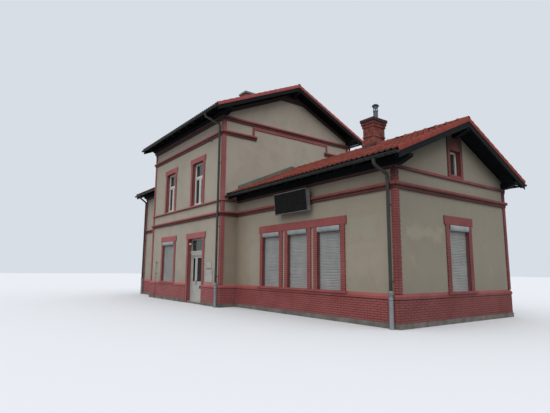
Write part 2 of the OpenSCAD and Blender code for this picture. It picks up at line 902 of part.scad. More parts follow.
// Sheet metal where a wing roof meets the main block: an upstand and an apron on the tiles
module flashing(x0, x1, half, top, wall_x0, wall_x1) {
    reach = half + wing_eave + tile_out;
    lift = deck_h + tile_h + bed;
    both_sides() {
        along_x(wall_x0, wall_x1) slope_section(half, top, half, lift, flashing_w);
        along_x(x0, x1) slope_section(half, top, reach, lift, flashing_t);
    }
}

module roof_flashings() {
    color("darkslategray") {
        flashing(x_mr, x_mr + flashing_w, y_wing, right_top, x_mr, x_mr + flashing_t);
        flashing(x_ml - flashing_w, x_ml, y_wing, left_top, x_ml - flashing_t, x_ml);
    }
}

// Rainwater goods

function gutter_y(half, eave) = half + eave + gutter_r;
function gutter_z(half, top, eave) = under(half, top, half + eave) + deck_h - gutter_drop;

module gutter(x0, x1, half, top, eave) {
    translate([0, -gutter_y(half, eave), gutter_z(half, top, eave)]) {
        along_x(x0, x1) difference() {
            circle(r = gutter_r);
            circle(r = gutter_r - gutter_t);
            translate([-gutter_r, 0]) square([2 * gutter_r, gutter_r]);
        }
        for (x = [x0, x1 - gutter_t]) along_x(x, x + gutter_t) difference() {
            circle(r = gutter_r);
            translate([-gutter_r, 0]) square([2 * gutter_r, gutter_r]);
        }
    }
}

module gutters() {
    color("darkslategray") both_sides() {
        gutter(x_ml - gable_out, x_mr + gable_out, y_main, main_top, main_eave);
        gutter(x_mr + trim_out + eps, x_right + gable_out, y_wing, right_top, wing_eave);
        gutter(x_left - gable_out, x_ml - trim_out - eps, y_wing, left_top, wing_eave);
    }
}

module elbow(start) {
    rotate([0, 0, start]) rotate_extrude(angle = bend_a) translate([bend_r, 0]) circle(r = pipe_r);
}

// A length of pipe that runs downwards at an angle, with a socket at its upper end
module pipe_length(a, l) {
    rotate([0, 0, a]) rotate([90, 0, 0]) {
        translate([0, 0, -socket_h / 2]) cylinder(r = pipe_r + socket_t, h = socket_h);
        translate([0, 0, eps]) cylinder(r = pipe_r, h = l - 2 * eps);
    }
}

// The swan neck runs from the outlet back to the wall and sideways to the pipe's own place.
// These give its run in plan, the length of its straight part and its whole fall.
function outlet_z(half, top, eave) = gutter_z(half, top, eave) - gutter_r - outlet_h;
function neck_run(dx, half, eave) = norm([dx, gutter_y(half, eave) - half - pipe_off]);
function neck_slant(dx, half, eave) =
    (neck_run(dx, half, eave) - 2 * bend_r * (1 - cos(bend_a))) / sin(bend_a);
function neck_fall(dx, half, eave) = 2 * bend_r * sin(bend_a) + neck_slant(dx, half, eave) * cos(bend_a);

// Outlet, fitted to the gutter, and swan neck, from x0 at the gutter to x1 at the wall.
// The neck is drawn with X along its run and Y up, then turned into the building's frame.
module swan_neck(x0, x1, half, top, eave) {
    dx = x1 - x0;
    run = neck_run(dx, half, eave);
    fall = neck_fall(dx, half, eave);
    bend_x = bend_r * (1 - cos(bend_a));
    bend_y = bend_r * sin(bend_a);
    translate([x0, -gutter_y(half, eave), gutter_z(half, top, eave)]) difference() {
        translate([0, 0, eps - gutter_r - outlet_h]) cylinder(r = pipe_r, h = gutter_r + outlet_h - eps);
        rotate([0, 90, 0]) cylinder(r = gutter_r, h = 4 * pipe_r, center = true);
    }
    translate([x0, -gutter_y(half, eave), outlet_z(half, top, eave)])
        rotate([90, 0, acos(dx / run)]) {
            pipe_length(0, socket_h / 4);
            translate([bend_r, 0, 0]) elbow(180);
            translate([bend_x, -bend_y, 0]) pipe_length(bend_a, neck_slant(dx, half, eave));
            translate([run - bend_x, bend_y - fall, 0]) pipe_length(bend_a, socket_h / 4);
            translate([run - bend_r, -fall, 0]) elbow(0);
        }
}

// The straight length down the wall into the standpipe, with its straps
module wall_pipe(dx, x, half, top, eave, straps, gap) {
    head = outlet_z(half, top, eave) - neck_fall(dx, half, eave);
    translate([x, -half - pipe_off, 0]) {
        translate([0, 0, stand_h]) cylinder(r = pipe_r, h = head - stand_h);
        translate([0, 0, head - socket_h]) cylinder(r = pipe_r + socket_t, h = socket_h);
    }
    for (z = straps) {
        translate([x, -half - pipe_off, z]) cylinder(r = pipe_r + socket_t, h = strap_h);
        block(x - strap_w / 2, x + strap_w / 2, -half - pipe_off, -half - gap, z, z + strap_h);
    }
}

right_pipe = [x_right - right_outlet_x, x_right - right_pipe_x];
main_pipe = [x_mr - main_outlet_x, x_mr - main_pipe_x];
left_pipe = [x_left + left_outlet_x, x_left + left_pipe_x];
low_straps = [strap_z, strap_z + strap_pitch];

module swan_necks() {
    color("darkslategray") both_sides() {
        swan_neck(right_pipe[0], right_pipe[1], y_wing, right_top, wing_eave);
        swan_neck(main_pipe[0], main_pipe[1], y_main, main_top, main_eave);
        swan_neck(left_pipe[0], left_pipe[1], y_wing, left_top, wing_eave);
    }
}

// The main block's straps end on its pilasters, the others on the wall
module downpipes() {
    color("darkslategray") both_sides() {
        wall_pipe(right_pipe[1] - right_pipe[0], right_pipe[1], y_wing, right_top, wing_eave, low_straps, 0);
        wall_pipe(main_pipe[1] - main_pipe[0], main_pipe[1], y_main, main_top, main_eave,
                  concat(low_straps, [main_strap_z]), trim_out);
        wall_pipe(left_pipe[1] - left_pipe[0], left_pipe[1], y_wing, left_top, wing_eave,
                  concat(low_straps, [left_strap_z]), 0);
    }
}

module standpipe(x, half) {
    collar_h = 70;
    collar_t = 8;
    translate([x, -half - pipe_off, 0]) {
        cylinder(r = stand_r, h = stand_h);
        translate([0, 0, stand_h - collar_h]) cylinder(r = stand_r + collar_t, h = collar_h);
    }
}

module standpipes() {
    color("lightgray") both_sides() {
        standpipe(right_pipe[1], y_wing);
        standpipe(main_pipe[1], y_main);
        standpipe(left_pipe[1], y_wing);
    }
}

// Chimneys stand on the tile layer and are scribed to it

wing_ridge_z = tile_top(y_wing, right_top, 0);
main_ridge_z = tile_top(y_main, main_top, 0);

module stack_step(out, z0, z1) {
    x = x_right - stack_x;
    block(x - stack_l / 2 - out, x + stack_l / 2 + out, stack_y - stack_d / 2 - out,
          stack_y + stack_d / 2 + out, z0, z1);
}

module wing_chimney() {
    head = wing_ridge_z + stack_top;
    difference() {
        union() {
            stack_step(0, right_top, head);
            stack_step(corbel_out, right_top, wing_ridge_z + foot_z);
            for (k = [1:3]) {
                stack_step(k * corbel_out, head - (4 - k) * corbel_h, head - (3 - k) * corbel_h);
            }
        }
        below_tiles(x_mr, x_right, y_wing, right_top, wing_eave);
    }
}

module chimney_flue() {
    post_r = 8;
    sheet_t = 6;
    collar_h = 40;
    hat_h = 110;
    color("silver") translate([x_right - stack_x + flue_x, stack_y + flue_y, wing_ridge_z + stack_top]) {
        difference() {
            cylinder(r = flue_r, h = flue_h);
            translate([0, 0, flue_h / 2]) cylinder(r = flue_r - sheet_t, h = flue_h);
        }
        translate([0, 0, flue_h - collar_h]) difference() {
            cylinder(r = flue_r + 2 * sheet_t, h = collar_h);
            translate([0, 0, -eps]) cylinder(r = flue_r - sheet_t, h = collar_h + 2 * eps);
        }
        for (a = [0:120:240]) rotate([0, 0, a]) {
            translate([flue_r, 0, flue_h - eps]) cylinder(r = post_r, h = hat_gap + 2 * eps);
        }
        translate([0, 0, flue_h + hat_gap]) cylinder(r1 = hat_r, r2 = hat_r / 6, h = hat_h);
    }
}

module main_stack_core() {
    x = x_mr - main_stack_x;
    half = main_stack_w / 2;
    block(x - half, x + half, -half, half, main_top, main_ridge_z + main_stack_top - slab_t);
}

module main_chimney() {
    x = x_mr - main_stack_x;
    half = main_stack_w / 2 + slab_out;
    head = main_ridge_z + main_stack_top;
    difference() {
        union() {
            main_stack_core();
            block(x - half, x + half, -half, half, head - slab_t, head);
        }
        below_tiles(x_ml, x_mr, y_main, main_top, main_eave);
    }
}

module chimneys() {
    color("firebrick") {
        wing_chimney();
        main_chimney();
    }
}

// Roller shutters, drawn on the wall face

// A curtain between its two guide rails
module curtain(w) {
    front = shutter_inset + curtain_t / 2 - guide_d / 2;
    block(-w / 2 + guide_w / 2, w / 2 - guide_w / 2, shutter_inset, shutter_inset + curtain_t,
          sill_z, head_z - box_h);
    for (side = [-1, 1]) {
        x = side * (w / 2 - guide_w / 2);
        block(x - guide_w / 2, x + guide_w / 2, front, front + guide_d, sill_z, head_z - box_h);
    }
}

module housing(w) {
    block(-w / 2, w / 2, -box_out, box_d - box_out, head_z - box_h, head_z);
}

// Every place with a roller shutter, as a loop over the building's faces
module at_shutters() {
    both_sides() {
        on_front(x_bay, y_main) children(0);
        for (k = [-1, 0, 1]) on_front(x_triple + k * triple_pitch, y_wing) children(1);
    }
    on_right(0) children(1);
    on_left(0) children(1);
}

module shutter_curtains() {
    color("lightgray") at_shutters() { curtain(door_w); curtain(window_w); }
}

module shutter_housings() {
    color("silver") at_shutters() { housing(door_w); housing(window_w); }
}

// Windows, drawn on the wall face

// Half the clear width of an upper window's and of an attic window's frame
upper_light = window_w / 2 - frame_w;
attic_light = attic_w / 2 - frame_w;

module light_cut(x0, x1, z0, z1) {
    block(x0, x1, frame_inset - eps, frame_inset + frame_d + eps, z0 + frame_w, z1 - frame_w);
}

module pane(x0, x1, z0, z1) {
    y = frame_inset + frame_d / 2 - glass_t / 2;
    block(x0, x1, y, y + glass_t, z0 + frame_w, z1 - frame_w);
}

module upper_frame() {
    difference() {
        block(-window_w / 2, window_w / 2, frame_inset, frame_inset + frame_d, upper_sill_z, upper_head_z);
        light_cut(-upper_light, -mullion_w / 2, upper_sill_z, transom_z + frame_w / 2);
        light_cut(mullion_w / 2, upper_light, upper_sill_z, transom_z + frame_w / 2);
        light_cut(-upper_light, upper_light, transom_z - frame_w / 2, upper_head_z);
    }
}

module upper_panes() {
    pane(-upper_light, -mullion_w / 2, upper_sill_z, transom_z + frame_w / 2);
    pane(mullion_w / 2, upper_light, upper_sill_z, transom_z + frame_w / 2);
    pane(-upper_light, upper_light, transom_z - frame_w / 2, upper_head_z);
}

module attic_frame() {
    difference() {
        block(-attic_w / 2, attic_w / 2, frame_inset, frame_inset + frame_d, attic_sill_z, attic_head_z);
        light_cut(-attic_light, attic_light, attic_sill_z, attic_head_z);
    }
}

module at_upper_windows() {
    both_sides() for (x = [x_door, x_bay]) on_front(x, y_main) children();
}

module window_frames() {
    color("white") {
        at_upper_windows() upper_frame();
        on_right(0) attic_frame();
        on_left(0) attic_frame();
    }
}

// The fixed glass: upper windows, attic windows and the light over each door
module window_glass() {
    color("lightblue") {
        at_upper_windows() upper_panes();
        on_right(0) pane(-attic_light, attic_light, attic_sill_z, attic_head_z);
        on_left(0) pane(-attic_light, attic_light, attic_sill_z, attic_head_z);
        both_sides() on_front(x_door, y_main) door_light_pane();
    }
}

// Entrance, drawn on the wall face with the leaves shut

light_z = bar_z + bar_h;
leaf_left = -door_w / 2 + door_post_w + leaf_gap;
leaf_right = door_w / 2 - door_post_w - leaf_gap;
leaf_split = leaf_left + narrow_w + leaf_gap;
leaf_y = door_inset + frame_d - leaf_t;
leaf_z0 = floor_z + threshold_h + leaf_gap;
leaf_z1 = bar_z - leaf_gap;
plate_l = 38;
plate_t = 3;
play = 0.3;

module door_light_pane() {
    y = door_inset + frame_d / 2 - glass_t / 2;
    block(-door_w / 2 + door_post_w, door_w / 2 - door_post_w, y, y + glass_t, light_z, head_z - door_post_w);
}

// Posts, head, moulded bar and threshold in one frame
module entrance_frame() {
    bar_out = 25;
    difference() {
        union() {
            block(-door_w / 2, door_w / 2, door_inset, door_inset + frame_d, floor_z, head_z);
            block(-door_w / 2, door_w / 2, door_inset - bar_out, door_inset, bar_z + bar_h / 4, light_z);
            block(-door_w / 2, door_w / 2, door_inset - 2 * bar_out, door_inset,
                  light_z - bar_h / 4, light_z);
        }
        block(-door_w / 2 + door_post_w, door_w / 2 - door_post_w, door_inset - eps,
              door_inset + frame_d + eps, floor_z + threshold_h, bar_z);
        block(-door_w / 2 + door_post_w, door_w / 2 - door_post_w, door_inset - eps,
              door_inset + frame_d + eps, light_z, head_z - door_post_w);
    }
}

// A hinge stands on the inner faces of the post and the leaf, with its pin over the gap
// between them. The lower knuckle and the pin belong to the post, the upper one to the leaf.
module hinge_plate(side) {
    translate([side > 0 ? 0 : -plate_l, -knuckle_r, 0]) cube([plate_l, plate_t, knuckle_h]);
}

module post_knuckle(side) {
    cylinder(r = knuckle_r, h = knuckle_h);
    cylinder(r = pin_r, h = 2 * knuckle_h + play);
    hinge_plate(-side);
}

module leaf_knuckle(side) {
    translate([0, 0, knuckle_h + play]) difference() {
        union() {
            cylinder(r = knuckle_r, h = knuckle_h);
            hinge_plate(side);
        }
        translate([0, 0, -eps]) cylinder(r = pin_r + play, h = knuckle_h + 2 * eps);
    }
}

// The three hinges of a leaf; side is 1 for the narrow leaf and -1 for the wide one
module at_hinges(side) {
    x = -side * (door_w / 2 - door_post_w - leaf_gap / 2);
    for (z = [leaf_z0 + 180, (leaf_z0 + leaf_z1) / 2, leaf_z1 - 180 - 2 * knuckle_h]) {
        translate([x, leaf_y + leaf_t + knuckle_r, z]) children();
    }
}

module door_frame() {
    color("white") on_front(x_door, y_main) {
        entrance_frame();
        for (side = [-1, 1]) at_hinges(side) post_knuckle(side);
    }
}

// A glazed leaf between two X values: glass above, a recessed panel below
module leaf(x0, x1) {
    difference() {
        block(x0, x1, leaf_y, leaf_y + leaf_t, leaf_z0, leaf_z1);
        block(x0 + stile_w, x1 - stile_w, leaf_y - eps, leaf_y + leaf_t + eps,
              leaf_glass_z, leaf_z1 - top_rail_h);
        for (y = [leaf_y - eps, leaf_y + leaf_t - panel_recess]) {
            block(x0 + stile_w, x1 - stile_w, y, y + panel_recess + eps, leaf_z0 + 2 * stile_w,
                  leaf_glass_z - stile_w);
        }
    }
}

module leaf_pane(x0, x1) {
    y = leaf_y + leaf_t / 2 - glass_t / 2;
    block(x0 + stile_w, x1 - stile_w, y, y + glass_t, leaf_glass_z, leaf_z1 - top_rail_h);
}

module narrow_leaf() {
    color("white") on_front(x_door, y_main) {
        leaf(leaf_left, leaf_split - leaf_gap);
        at_hinges(1) leaf_knuckle(1);
    }
}

module wide_leaf() {
    color("white") on_front(x_door, y_main) {
        leaf(leaf_split, leaf_right);
        at_hinges(-1) leaf_knuckle(-1);
    }
}

module narrow_leaf_glass() {
    color("lightblue") on_front(x_door, y_main) leaf_pane(leaf_left, leaf_split - leaf_gap);
}

module wide_leaf_glass() {
    color("lightblue") on_front(x_door, y_main) leaf_pane(leaf_split, leaf_right);
}

// Lever handle and its long plate on the wide leaf's lock stile
module door_handle() {
    plate_w = 44;
    plate_t = 8;
    lever_l = 120;
    x = leaf_split + stile_w / 2;
    color("dimgray") on_front(x_door, y_main) {
        block(x - plate_w / 2, x + plate_w / 2, leaf_y - plate_t, leaf_y, handle_z - 150, handle_z + 70);
        translate([x, leaf_y - plate_t, handle_z]) rotate([90, 0, 0]) cylinder(r = 10, h = 45);
        block(x - 10, x + lever_l, leaf_y - plate_t - 60, leaf_y - plate_t - 40,
              handle_z - 10, handle_z + 10);
    }
}

// The door of the rear side, shut and fixed
module rear_door() {
    color("white") mirror([0, 1, 0]) on_front(x_door, y_main) {
        entrance_frame();
        difference() {
            block(-door_w / 2 + door_post_w, door_w / 2 - door_post_w, leaf_y, leaf_y + leaf_t,
                  floor_z + threshold_h, bar_z);
            for (x = [[leaf_left, leaf_split - leaf_gap], [leaf_split, leaf_right]]) {
                block(x[0] + stile_w, x[1] - stile_w, leaf_y - eps, leaf_y + panel_recess,
                      leaf_z0 + 2 * stile_w, leaf_glass_z - stile_w);
                block(x[0] + stile_w, x[1] - stile_w, leaf_y - eps, leaf_y + panel_recess,
                      leaf_glass_z, leaf_z1 - top_rail_h);
            }
        }
    }
}

// Sign and small fittings

module sign_volume() {
    translate([x_right - sign_x, -y_wing - sign_off, sign_z]) rotate([sign_lean, 0, 0])
        translate([-sign_l / 2, -sign_d, 0]) cube([sign_l, sign_d, sign_h]);
}

// The sign hangs on four arms, each cut off inside the box
module station_sign() {
    arm_w = 40;
    arm_in = sign_d / 2;
    sign_volume();
    for (x = [-sign_l / 3, sign_l / 3], z = [sign_h / 6, sign_h * 5 / 6]) {
        y = -y_wing - sign_off - z * sin(sign_lean) - arm_in;
        block(x_right - sign_x + x - arm_w / 2, x_right - sign_x + x + arm_w / 2, y, -y_wing,
              sign_z + z - arm_w / 2, sign_z + z + arm_w / 2);
    }
}

module notice_board(x, w, z, h) {
    on_front(x_mr - x, y_main) block(-w / 2, w / 2, -board_t, 0, z, z + h);
}

module sign_boards() {
    color("black") {
        station_sign();
        notice_board(board_x, upper_board_w, upper_board_z, upper_board_h);
        notice_board(board_x, lower_board_w, lower_board_z, lower_board_h);
    }
}

module door_lamp() {
    lamp_r = 45;
    lamp_l = 70;
    color("white") translate([x_door - door_w / 2, -y_main + door_inset / 2, head_z - lamp_drop]) {
        rotate([0, 90, 0]) cylinder(r = lamp_r, h = lamp_l);
    }
}

// A flat arm with the insulator at its end, just under the street cornice
module wall_insulator() {
    arm_w = 30;
    body_r = 35;
    body_h = 110;
    arm_z = upper_cornice_z - 3 * arm_w;
    color("dimgray") on_front(x_mr - insulator_x, y_main) {
        block(-arm_w / 2, arm_w / 2, -insulator_out, 0, arm_z, arm_z + arm_w);
        translate([0, arm_w / 2 - insulator_out, arm_z + arm_w]) cylinder(r = body_r, h = body_h);
    }
}

// A rod in front of the plinth, held by two clips
module lightning_conductor() {
    rod_r = 9;
    clip_w = 36;
    clip_t = 6;
    off = base_out + 2 * rod_r;
    color("gray") on_front(x_ml + conductor_x, y_main) {
        translate([0, -off, 0]) cylinder(r = rod_r, h = conductor_h);
        for (z = [conductor_h * 2 / 3, conductor_h - 2 * clip_w]) {
            block(-clip_w / 2, clip_w / 2, -off - rod_r - clip_t, 0, z, z + clip_w);
        }
    }
}

ground_floors();
upper_floors();
concrete_base();
main_front_wall_sides();
main_front_wall_over();
main_back_wall();
main_gable_walls();
wing_front_walls();
wing_back_walls();
wing_gable_sides();
wing_gable_tops();
window_aprons();
brick_plinth();
plinth_cap();
main_cornice();
string_courses();
upper_cornices();
corner_pilasters();
opening_surrounds();
window_sills();
roof_decks();
roof_tiles();
ridge_tiles();
verge_boards();
purlins();
roof_flashings();
gutters();
swan_necks();
downpipes();
standpipes();
chimneys();
chimney_flue();
shutter_curtains();
shutter_housings();
window_frames();
window_glass();
door_frame();
narrow_leaf();
wide_leaf();
narrow_leaf_glass();
wide_leaf_glass();
door_handle();
rear_door();
sign_boards();
door_lamp();
wall_insulator();
lightning_conductor();
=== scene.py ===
"""Looks of a rural railway station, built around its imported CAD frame."""
import math
import random

import bpy
import numpy as np
from mathutils import Matrix, Vector


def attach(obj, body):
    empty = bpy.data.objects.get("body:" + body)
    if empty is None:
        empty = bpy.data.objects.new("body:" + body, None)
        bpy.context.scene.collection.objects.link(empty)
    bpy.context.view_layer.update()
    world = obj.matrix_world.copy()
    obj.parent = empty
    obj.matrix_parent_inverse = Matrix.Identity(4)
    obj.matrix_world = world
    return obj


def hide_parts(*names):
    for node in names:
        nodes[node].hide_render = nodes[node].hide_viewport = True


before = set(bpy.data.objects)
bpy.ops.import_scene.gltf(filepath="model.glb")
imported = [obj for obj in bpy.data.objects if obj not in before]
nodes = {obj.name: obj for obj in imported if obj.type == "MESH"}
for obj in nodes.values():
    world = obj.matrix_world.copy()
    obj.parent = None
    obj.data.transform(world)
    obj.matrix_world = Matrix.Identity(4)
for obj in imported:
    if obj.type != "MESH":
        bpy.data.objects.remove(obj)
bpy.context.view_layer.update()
rng = random.Random(7)

# Sizes in metres, the same as in part.scad
X_RIGHT, X_MR, X_ML, X_LEFT = 10.35, 1.55, -6.75, -10.35
Y_MAIN, Y_WING = 4.0, 3.2
MAIN_TOP, RIGHT_TOP, LEFT_TOP = 8.66, 4.69, 6.36
MAIN_EAVE, WING_EAVE, GABLE_OUT = 0.64, 0.54, 0.60
PITCH = math.radians(24)
SLOPE = math.tan(PITCH)
PURLIN_W, PURLIN_H, PURLIN_OUT = 0.20, 0.24, 0.06
DECK_H, DECK_END, TILE_H, TILE_OUT, RIDGE_RISE = 0.20, 0.55, 0.115, 0.055, 0.055
BASE_H, CAP_Z, SILL_Z, PLINTH_OUT, TRIM_OUT = 0.15, 0.81, 0.97, 0.04, 0.03
CORNICE_Z, UPPER_CORNICE_Z, GABLE_CORNICE_Z = 3.99, 7.74, 8.43
COURSE_H, COURSE_OUT, GABLE_DROP = 0.10, 0.05, 0.15
STRING_Z, STRING_H, STRING_OUT = 4.65, 0.09, 0.06
HEAD_Z, HEAD_H, JAMB_W, EAR_W = 3.11, 0.28, 0.20, 0.08
X_DOOR, X_BAY, X_TRIPLE, TRIPLE_PITCH = -0.98, -4.32, 5.88, 1.66
DOOR_W, WINDOW_W, ATTIC_W = 1.53, 1.12, 0.61
UPPER_SILL_Z, UPPER_HEAD_Z, UPPER_HEAD_H = 4.78, 6.92, 0.26
ATTIC_SILL_Z, ATTIC_HEAD_Z, ATTIC_JAMB_W = 4.80, 5.66, 0.145
PILASTER_W, RETURN_W, STRIP_IN, STRIP_W = 0.14, 0.12, 2.325, 0.11
GUTTER_R = 0.075


class Roof:
    """A gabled roof along X: its ends, the walls' half width and top, the eaves and which ends are free."""

    def __init__(self, x0, x1, half, top, eave, free_l, free_r):
        self.x0, self.x1, self.half, self.top = x0, x1, half, top
        self.free_l, self.free_r = free_l, free_r
        self.reach = half + eave

    def soffit(self, y):
        """Height of the rafters' underside."""
        return self.top + PURLIN_H + PURLIN_OUT * SLOPE + (self.half - abs(y)) * SLOPE

    def tiles(self, y):
        """Height of the CAD tiles' upper face."""
        return self.soffit(y) + DECK_H + TILE_H

    def inset(self, free, wall=0.0):
        """Both ends moved inwards, by free where the end is free and else by wall."""
        return self.x0 + (free if self.free_l else wall), self.x1 - (free if self.free_r else wall)


MAIN = Roof(X_ML - GABLE_OUT, X_MR + GABLE_OUT, Y_MAIN, MAIN_TOP, MAIN_EAVE, True, True)
NEAR = Roof(X_MR, X_RIGHT + GABLE_OUT, Y_WING, RIGHT_TOP, WING_EAVE, False, True)
FAR = Roof(X_LEFT - GABLE_OUT, X_ML, Y_WING, LEFT_TOP, WING_EAVE, True, False)
ROOFS = {"main": MAIN, "near_wing": NEAR, "far_wing": FAR}

# Chimneys: the wing's stack with its foot, and the main block's with its slab
STACK_X, STACK_Y, STACK_L, STACK_D = X_RIGHT - 3.56, 0.13, 0.54, 0.70
STACK_TOP, FOOT_Z, FOOT_OUT = NEAR.tiles(0) + 1.085, NEAR.tiles(0) + 0.225, 0.022
CORBEL_H, CORBEL_OUT = 0.12, 0.03
MSTACK_X, MSTACK_W, MSTACK_TOP, SLAB_H = X_MR - 4.40, 0.62, MAIN.tiles(0) + 1.21, 0.11


# Mesh building

def placed(name, data):
    """A new object in the scene's collection."""
    obj = bpy.data.objects.new(name, data)
    bpy.context.scene.collection.objects.link(obj)
    return obj


def circle(count):
    """Angles of count points round a circle."""
    return np.linspace(0, 2 * math.pi, count + 1)[:-1]


class Shape:
    """Vertices and faces collected for one piece."""

    def __init__(self):
        self.verts, self.faces = [], []

    def grid(self, rows, closed_rows=False, closed_cols=False):
        """A sheet through rows of points. Facing follows (row, column) by the right hand."""
        r, c, start = len(rows), len(rows[0]), len(self.verts)
        for i in range(r if closed_rows else r - 1):
            for j in range(c if closed_cols else c - 1):
                a, b, right = start + i * c, start + (i + 1) % r * c, (j + 1) % c
                self.faces.append((a + j, a + right, b + right, b + j))
        self.verts.extend(tuple(p) for row in rows for p in row)

    def tube(self, rows):
        """A closed body through rows of section points, capped at both ends."""
        first, c = len(self.verts), len(rows[0])
        self.grid(rows, closed_cols=True)
        last = len(self.verts) - c
        self.faces += [tuple(first + j for j in reversed(range(c))), tuple(last + j for j in range(c))]

    def turned(self, x, y, z, profile, count=28):
        """A body turned about an upright axis from points (radius, height over z), lowest first."""
        self.tube([[(x + r * math.cos(t), y + r * math.sin(t), z + up) for t in circle(count)]
                   for r, up in profile])

    def make(self, name, mat, slot, body="building", replaces=(), smooth=None, bevel=0.0):
        """Makes the piece; smooth is the angle in degrees up to which its shading is rounded."""
        mesh = bpy.data.meshes.new(name)
        mesh.from_pydata(self.verts, [], self.faces)
        mesh.validate()
        obj = placed(name, mesh)
        mesh.materials.append(mat)
        if bevel:
            mod = obj.modifiers.new("bevel", "BEVEL")
            mod.width, mod.segments, mod.limit_method, mod.angle_limit = bevel, 2, "ANGLE", math.radians(40)
        if smooth:
            mesh.polygons.foreach_set("use_smooth", [True] * len(mesh.polygons))
            mesh.set_sharp_from_angle(angle=math.radians(smooth))
        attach(obj, body)
        if replaces:
            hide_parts(*replaces)


class Face:
    """A wall face: u runs to the right seen from outside, out away from the wall, z up."""

    def __init__(self, ox, oy, ux, uy):
        self.o, self.u, self.n = (ox, oy), (ux, uy), (uy, -ux)

    def at(self, u, out, z):
        return (*(o + du * u + dn * out for o, du, dn in zip(self.o, self.u, self.n)), z)

    def box(self, shape, u0, u1, out0, out1, z0, z1):
        """A box from out0 (nearer the wall) to out1."""
        shape.tube([[self.at(u, out, z) for u, out in ((u0, out1), (u1, out1), (u1, out0), (u0, out0))]
                    for z in (z0, z1)])


def street(x, half):
    return Face(x, -half, 1, 0)


def rear(x, half):
    return Face(x, half, -1, 0)


def gable(x, sign):
    return Face(x, 0, 0, sign)


MAIN_GABLES = gable(X_MR, 1), gable(X_ML, -1)
NEAR_GABLE, FAR_GABLE = gable(X_RIGHT, 1), gable(X_LEFT, -1)


# Materials

class Value:
    """An output socket of a graph; it can be added, compared and so on, which makes nodes."""

    def __init__(self, graph, socket):
        self.graph, self.socket = graph, socket


for method, op in (("add", "ADD"), ("sub", "SUBTRACT"), ("mul", "MULTIPLY"), ("truediv", "DIVIDE"),
                   ("gt", "GREATER_THAN"), ("lt", "LESS_THAN"), ("abs", "ABSOLUTE")):
    setattr(Value, "__%s__" % method, lambda self, b=0.5, op=op: self.graph.math(op, self, b))


class Graph:
    """The nodes of a material or a world, and the inputs of its shader."""

    def __init__(self, owner, shader):
        owner.use_nodes = True
        self.tree = owner.node_tree
        self.inputs = next(n for n in self.tree.nodes if n.type == shader).inputs

    def node(self, kind, output=0, settings=None, **inputs):
        """A new node's output; inputs are given by label, with _ for a space, or by i and a number."""
        n = self.tree.nodes.new("ShaderNode" + kind)
        for key, value in (settings or {}).items():
            setattr(n, key, value)
        for key, value in inputs.items():
            self.put(n.inputs[int(key[1:]) if key[1:].isdigit() else key.replace("_", " ")], value)
        return Value(self, n.outputs[output])

    def put(self, socket, value):
        if isinstance(value, Value):
            self.tree.links.new(value.socket, socket)
        else:
            socket.default_value = (*value, 1) if socket.type == "RGBA" else value

    def math(self, op, a, b=0.5):
        return self.node("Math", 0, {"operation": op}, i0=a, i1=b)

    def span(self, value, a, b, c=0.0, d=1.0):
        """Maps a..b to c..d, clamped."""
        return self.node("MapRange", Value=value, From_Min=a, From_Max=b, To_Min=c, To_Max=d)

    def mix(self, fac, a, b):
        return self.node("Mix", 2, {"data_type": "RGBA"}, i0=fac, i6=a, i7=b)

    def xyz(self, vector):
        n = self.tree.nodes.new("ShaderNodeSeparateXYZ")
        self.put(n.inputs[0], vector)
        return [Value(self, out) for out in n.outputs]

    def seen(self):
        """1 for rays from the camera, and for those mirrored or let through by gloss and glass."""
        rays = [self.node("LightPath", "Is %s Ray" % kind) for kind in ("Camera", "Glossy", "Transmission")]
        return self.math("MINIMUM", rays[0] + rays[1] + rays[2], 1.0)


class Look(Graph):
    """A node material with its colour so far; x, y and z are the object's coordinates."""

    def __init__(self, name, color, rough, metallic=0.0, spec=0.4):
        self.mat = bpy.data.materials.new(name)
        super().__init__(self.mat, "BSDF_PRINCIPLED")
        self.col = color
        for key, value in (("Roughness", rough), ("Metallic", metallic), ("Specular IOR Level", spec)):
            self.put(self.inputs[key], value)
        self.coord = self.node("TexCoord", "Object")
        self.x, self.y, self.z = self.xyz(self.coord)
        self.relief = {}

    def scaled(self, x, y, z):
        return self.node("Mapping", Vector=self.coord, Scale=(x, y, z))

    def noise(self, scale, detail=3.0, vector=None, rough=0.55):
        return self.node("TexNoise", "Fac", Vector=vector or self.coord, Scale=scale, Detail=detail,
                         Roughness=rough)

    def patches(self, scale, detail, low, high, vector=None, rough=0.55):
        """Noise turned into patches: 0 up to low, 1 from high."""
        return self.span(self.noise(scale, detail, vector, rough), low, high)

    def stain(self, tint, amount, mask):
        """Lays an amount of a tint over the colour where the mask is 1."""
        self.col = self.mix(mask * amount, self.col, tint)

    def normal(self):
        return self.xyz(self.node("NewGeometry", "Normal"))

    def bump(self, height, distance):
        """Adds relief to what there is."""
        self.relief = {"Normal": self.node("Bump", Height=height, Distance=distance, **self.relief)}
        self.put(self.inputs["Normal"], self.relief["Normal"])

    def done(self, *grains):
        """The material with its colour and a bump for each (scale, detail, height) of noise."""
        self.put(self.inputs["Base Color"], self.col)
        for scale, detail, height in grains:
            self.bump(self.noise(scale, detail), height)
        return self.mat


# Colours, linear
# The near gable's render and paint colours are darker, as painted shade on that face
RENDER, MAIN_RENDER, GABLE_SHADED_RENDER = (0.410, 0.360, 0.282), (0.475, 0.428, 0.352), (0.325, 0.296, 0.235)
PAINT, PALE_PAINT, GABLE_SHADED_PAINT = (0.360, 0.092, 0.086), (0.455, 0.140, 0.140), (0.262, 0.070, 0.068)
# Painted shade in the recessed joints and in the raked joints under the courses
JOINT_SHADE = (0.085, 0.028, 0.026)
MEND, MEND_RIM = (0.385, 0.375, 0.310), (0.300, 0.225, 0.130)
MOSS, SPLASH, LICHEN = (0.07, 0.075, 0.045), (0.10, 0.10, 0.075), (0.20, 0.17, 0.10)
# The second colour here is painted shade for the masonry under the eaves
RUST, EAVE_SHADE = (0.036, 0.018, 0.011), (0.012, 0.010, 0.010)

REVEAL_PITCH = 0.0745
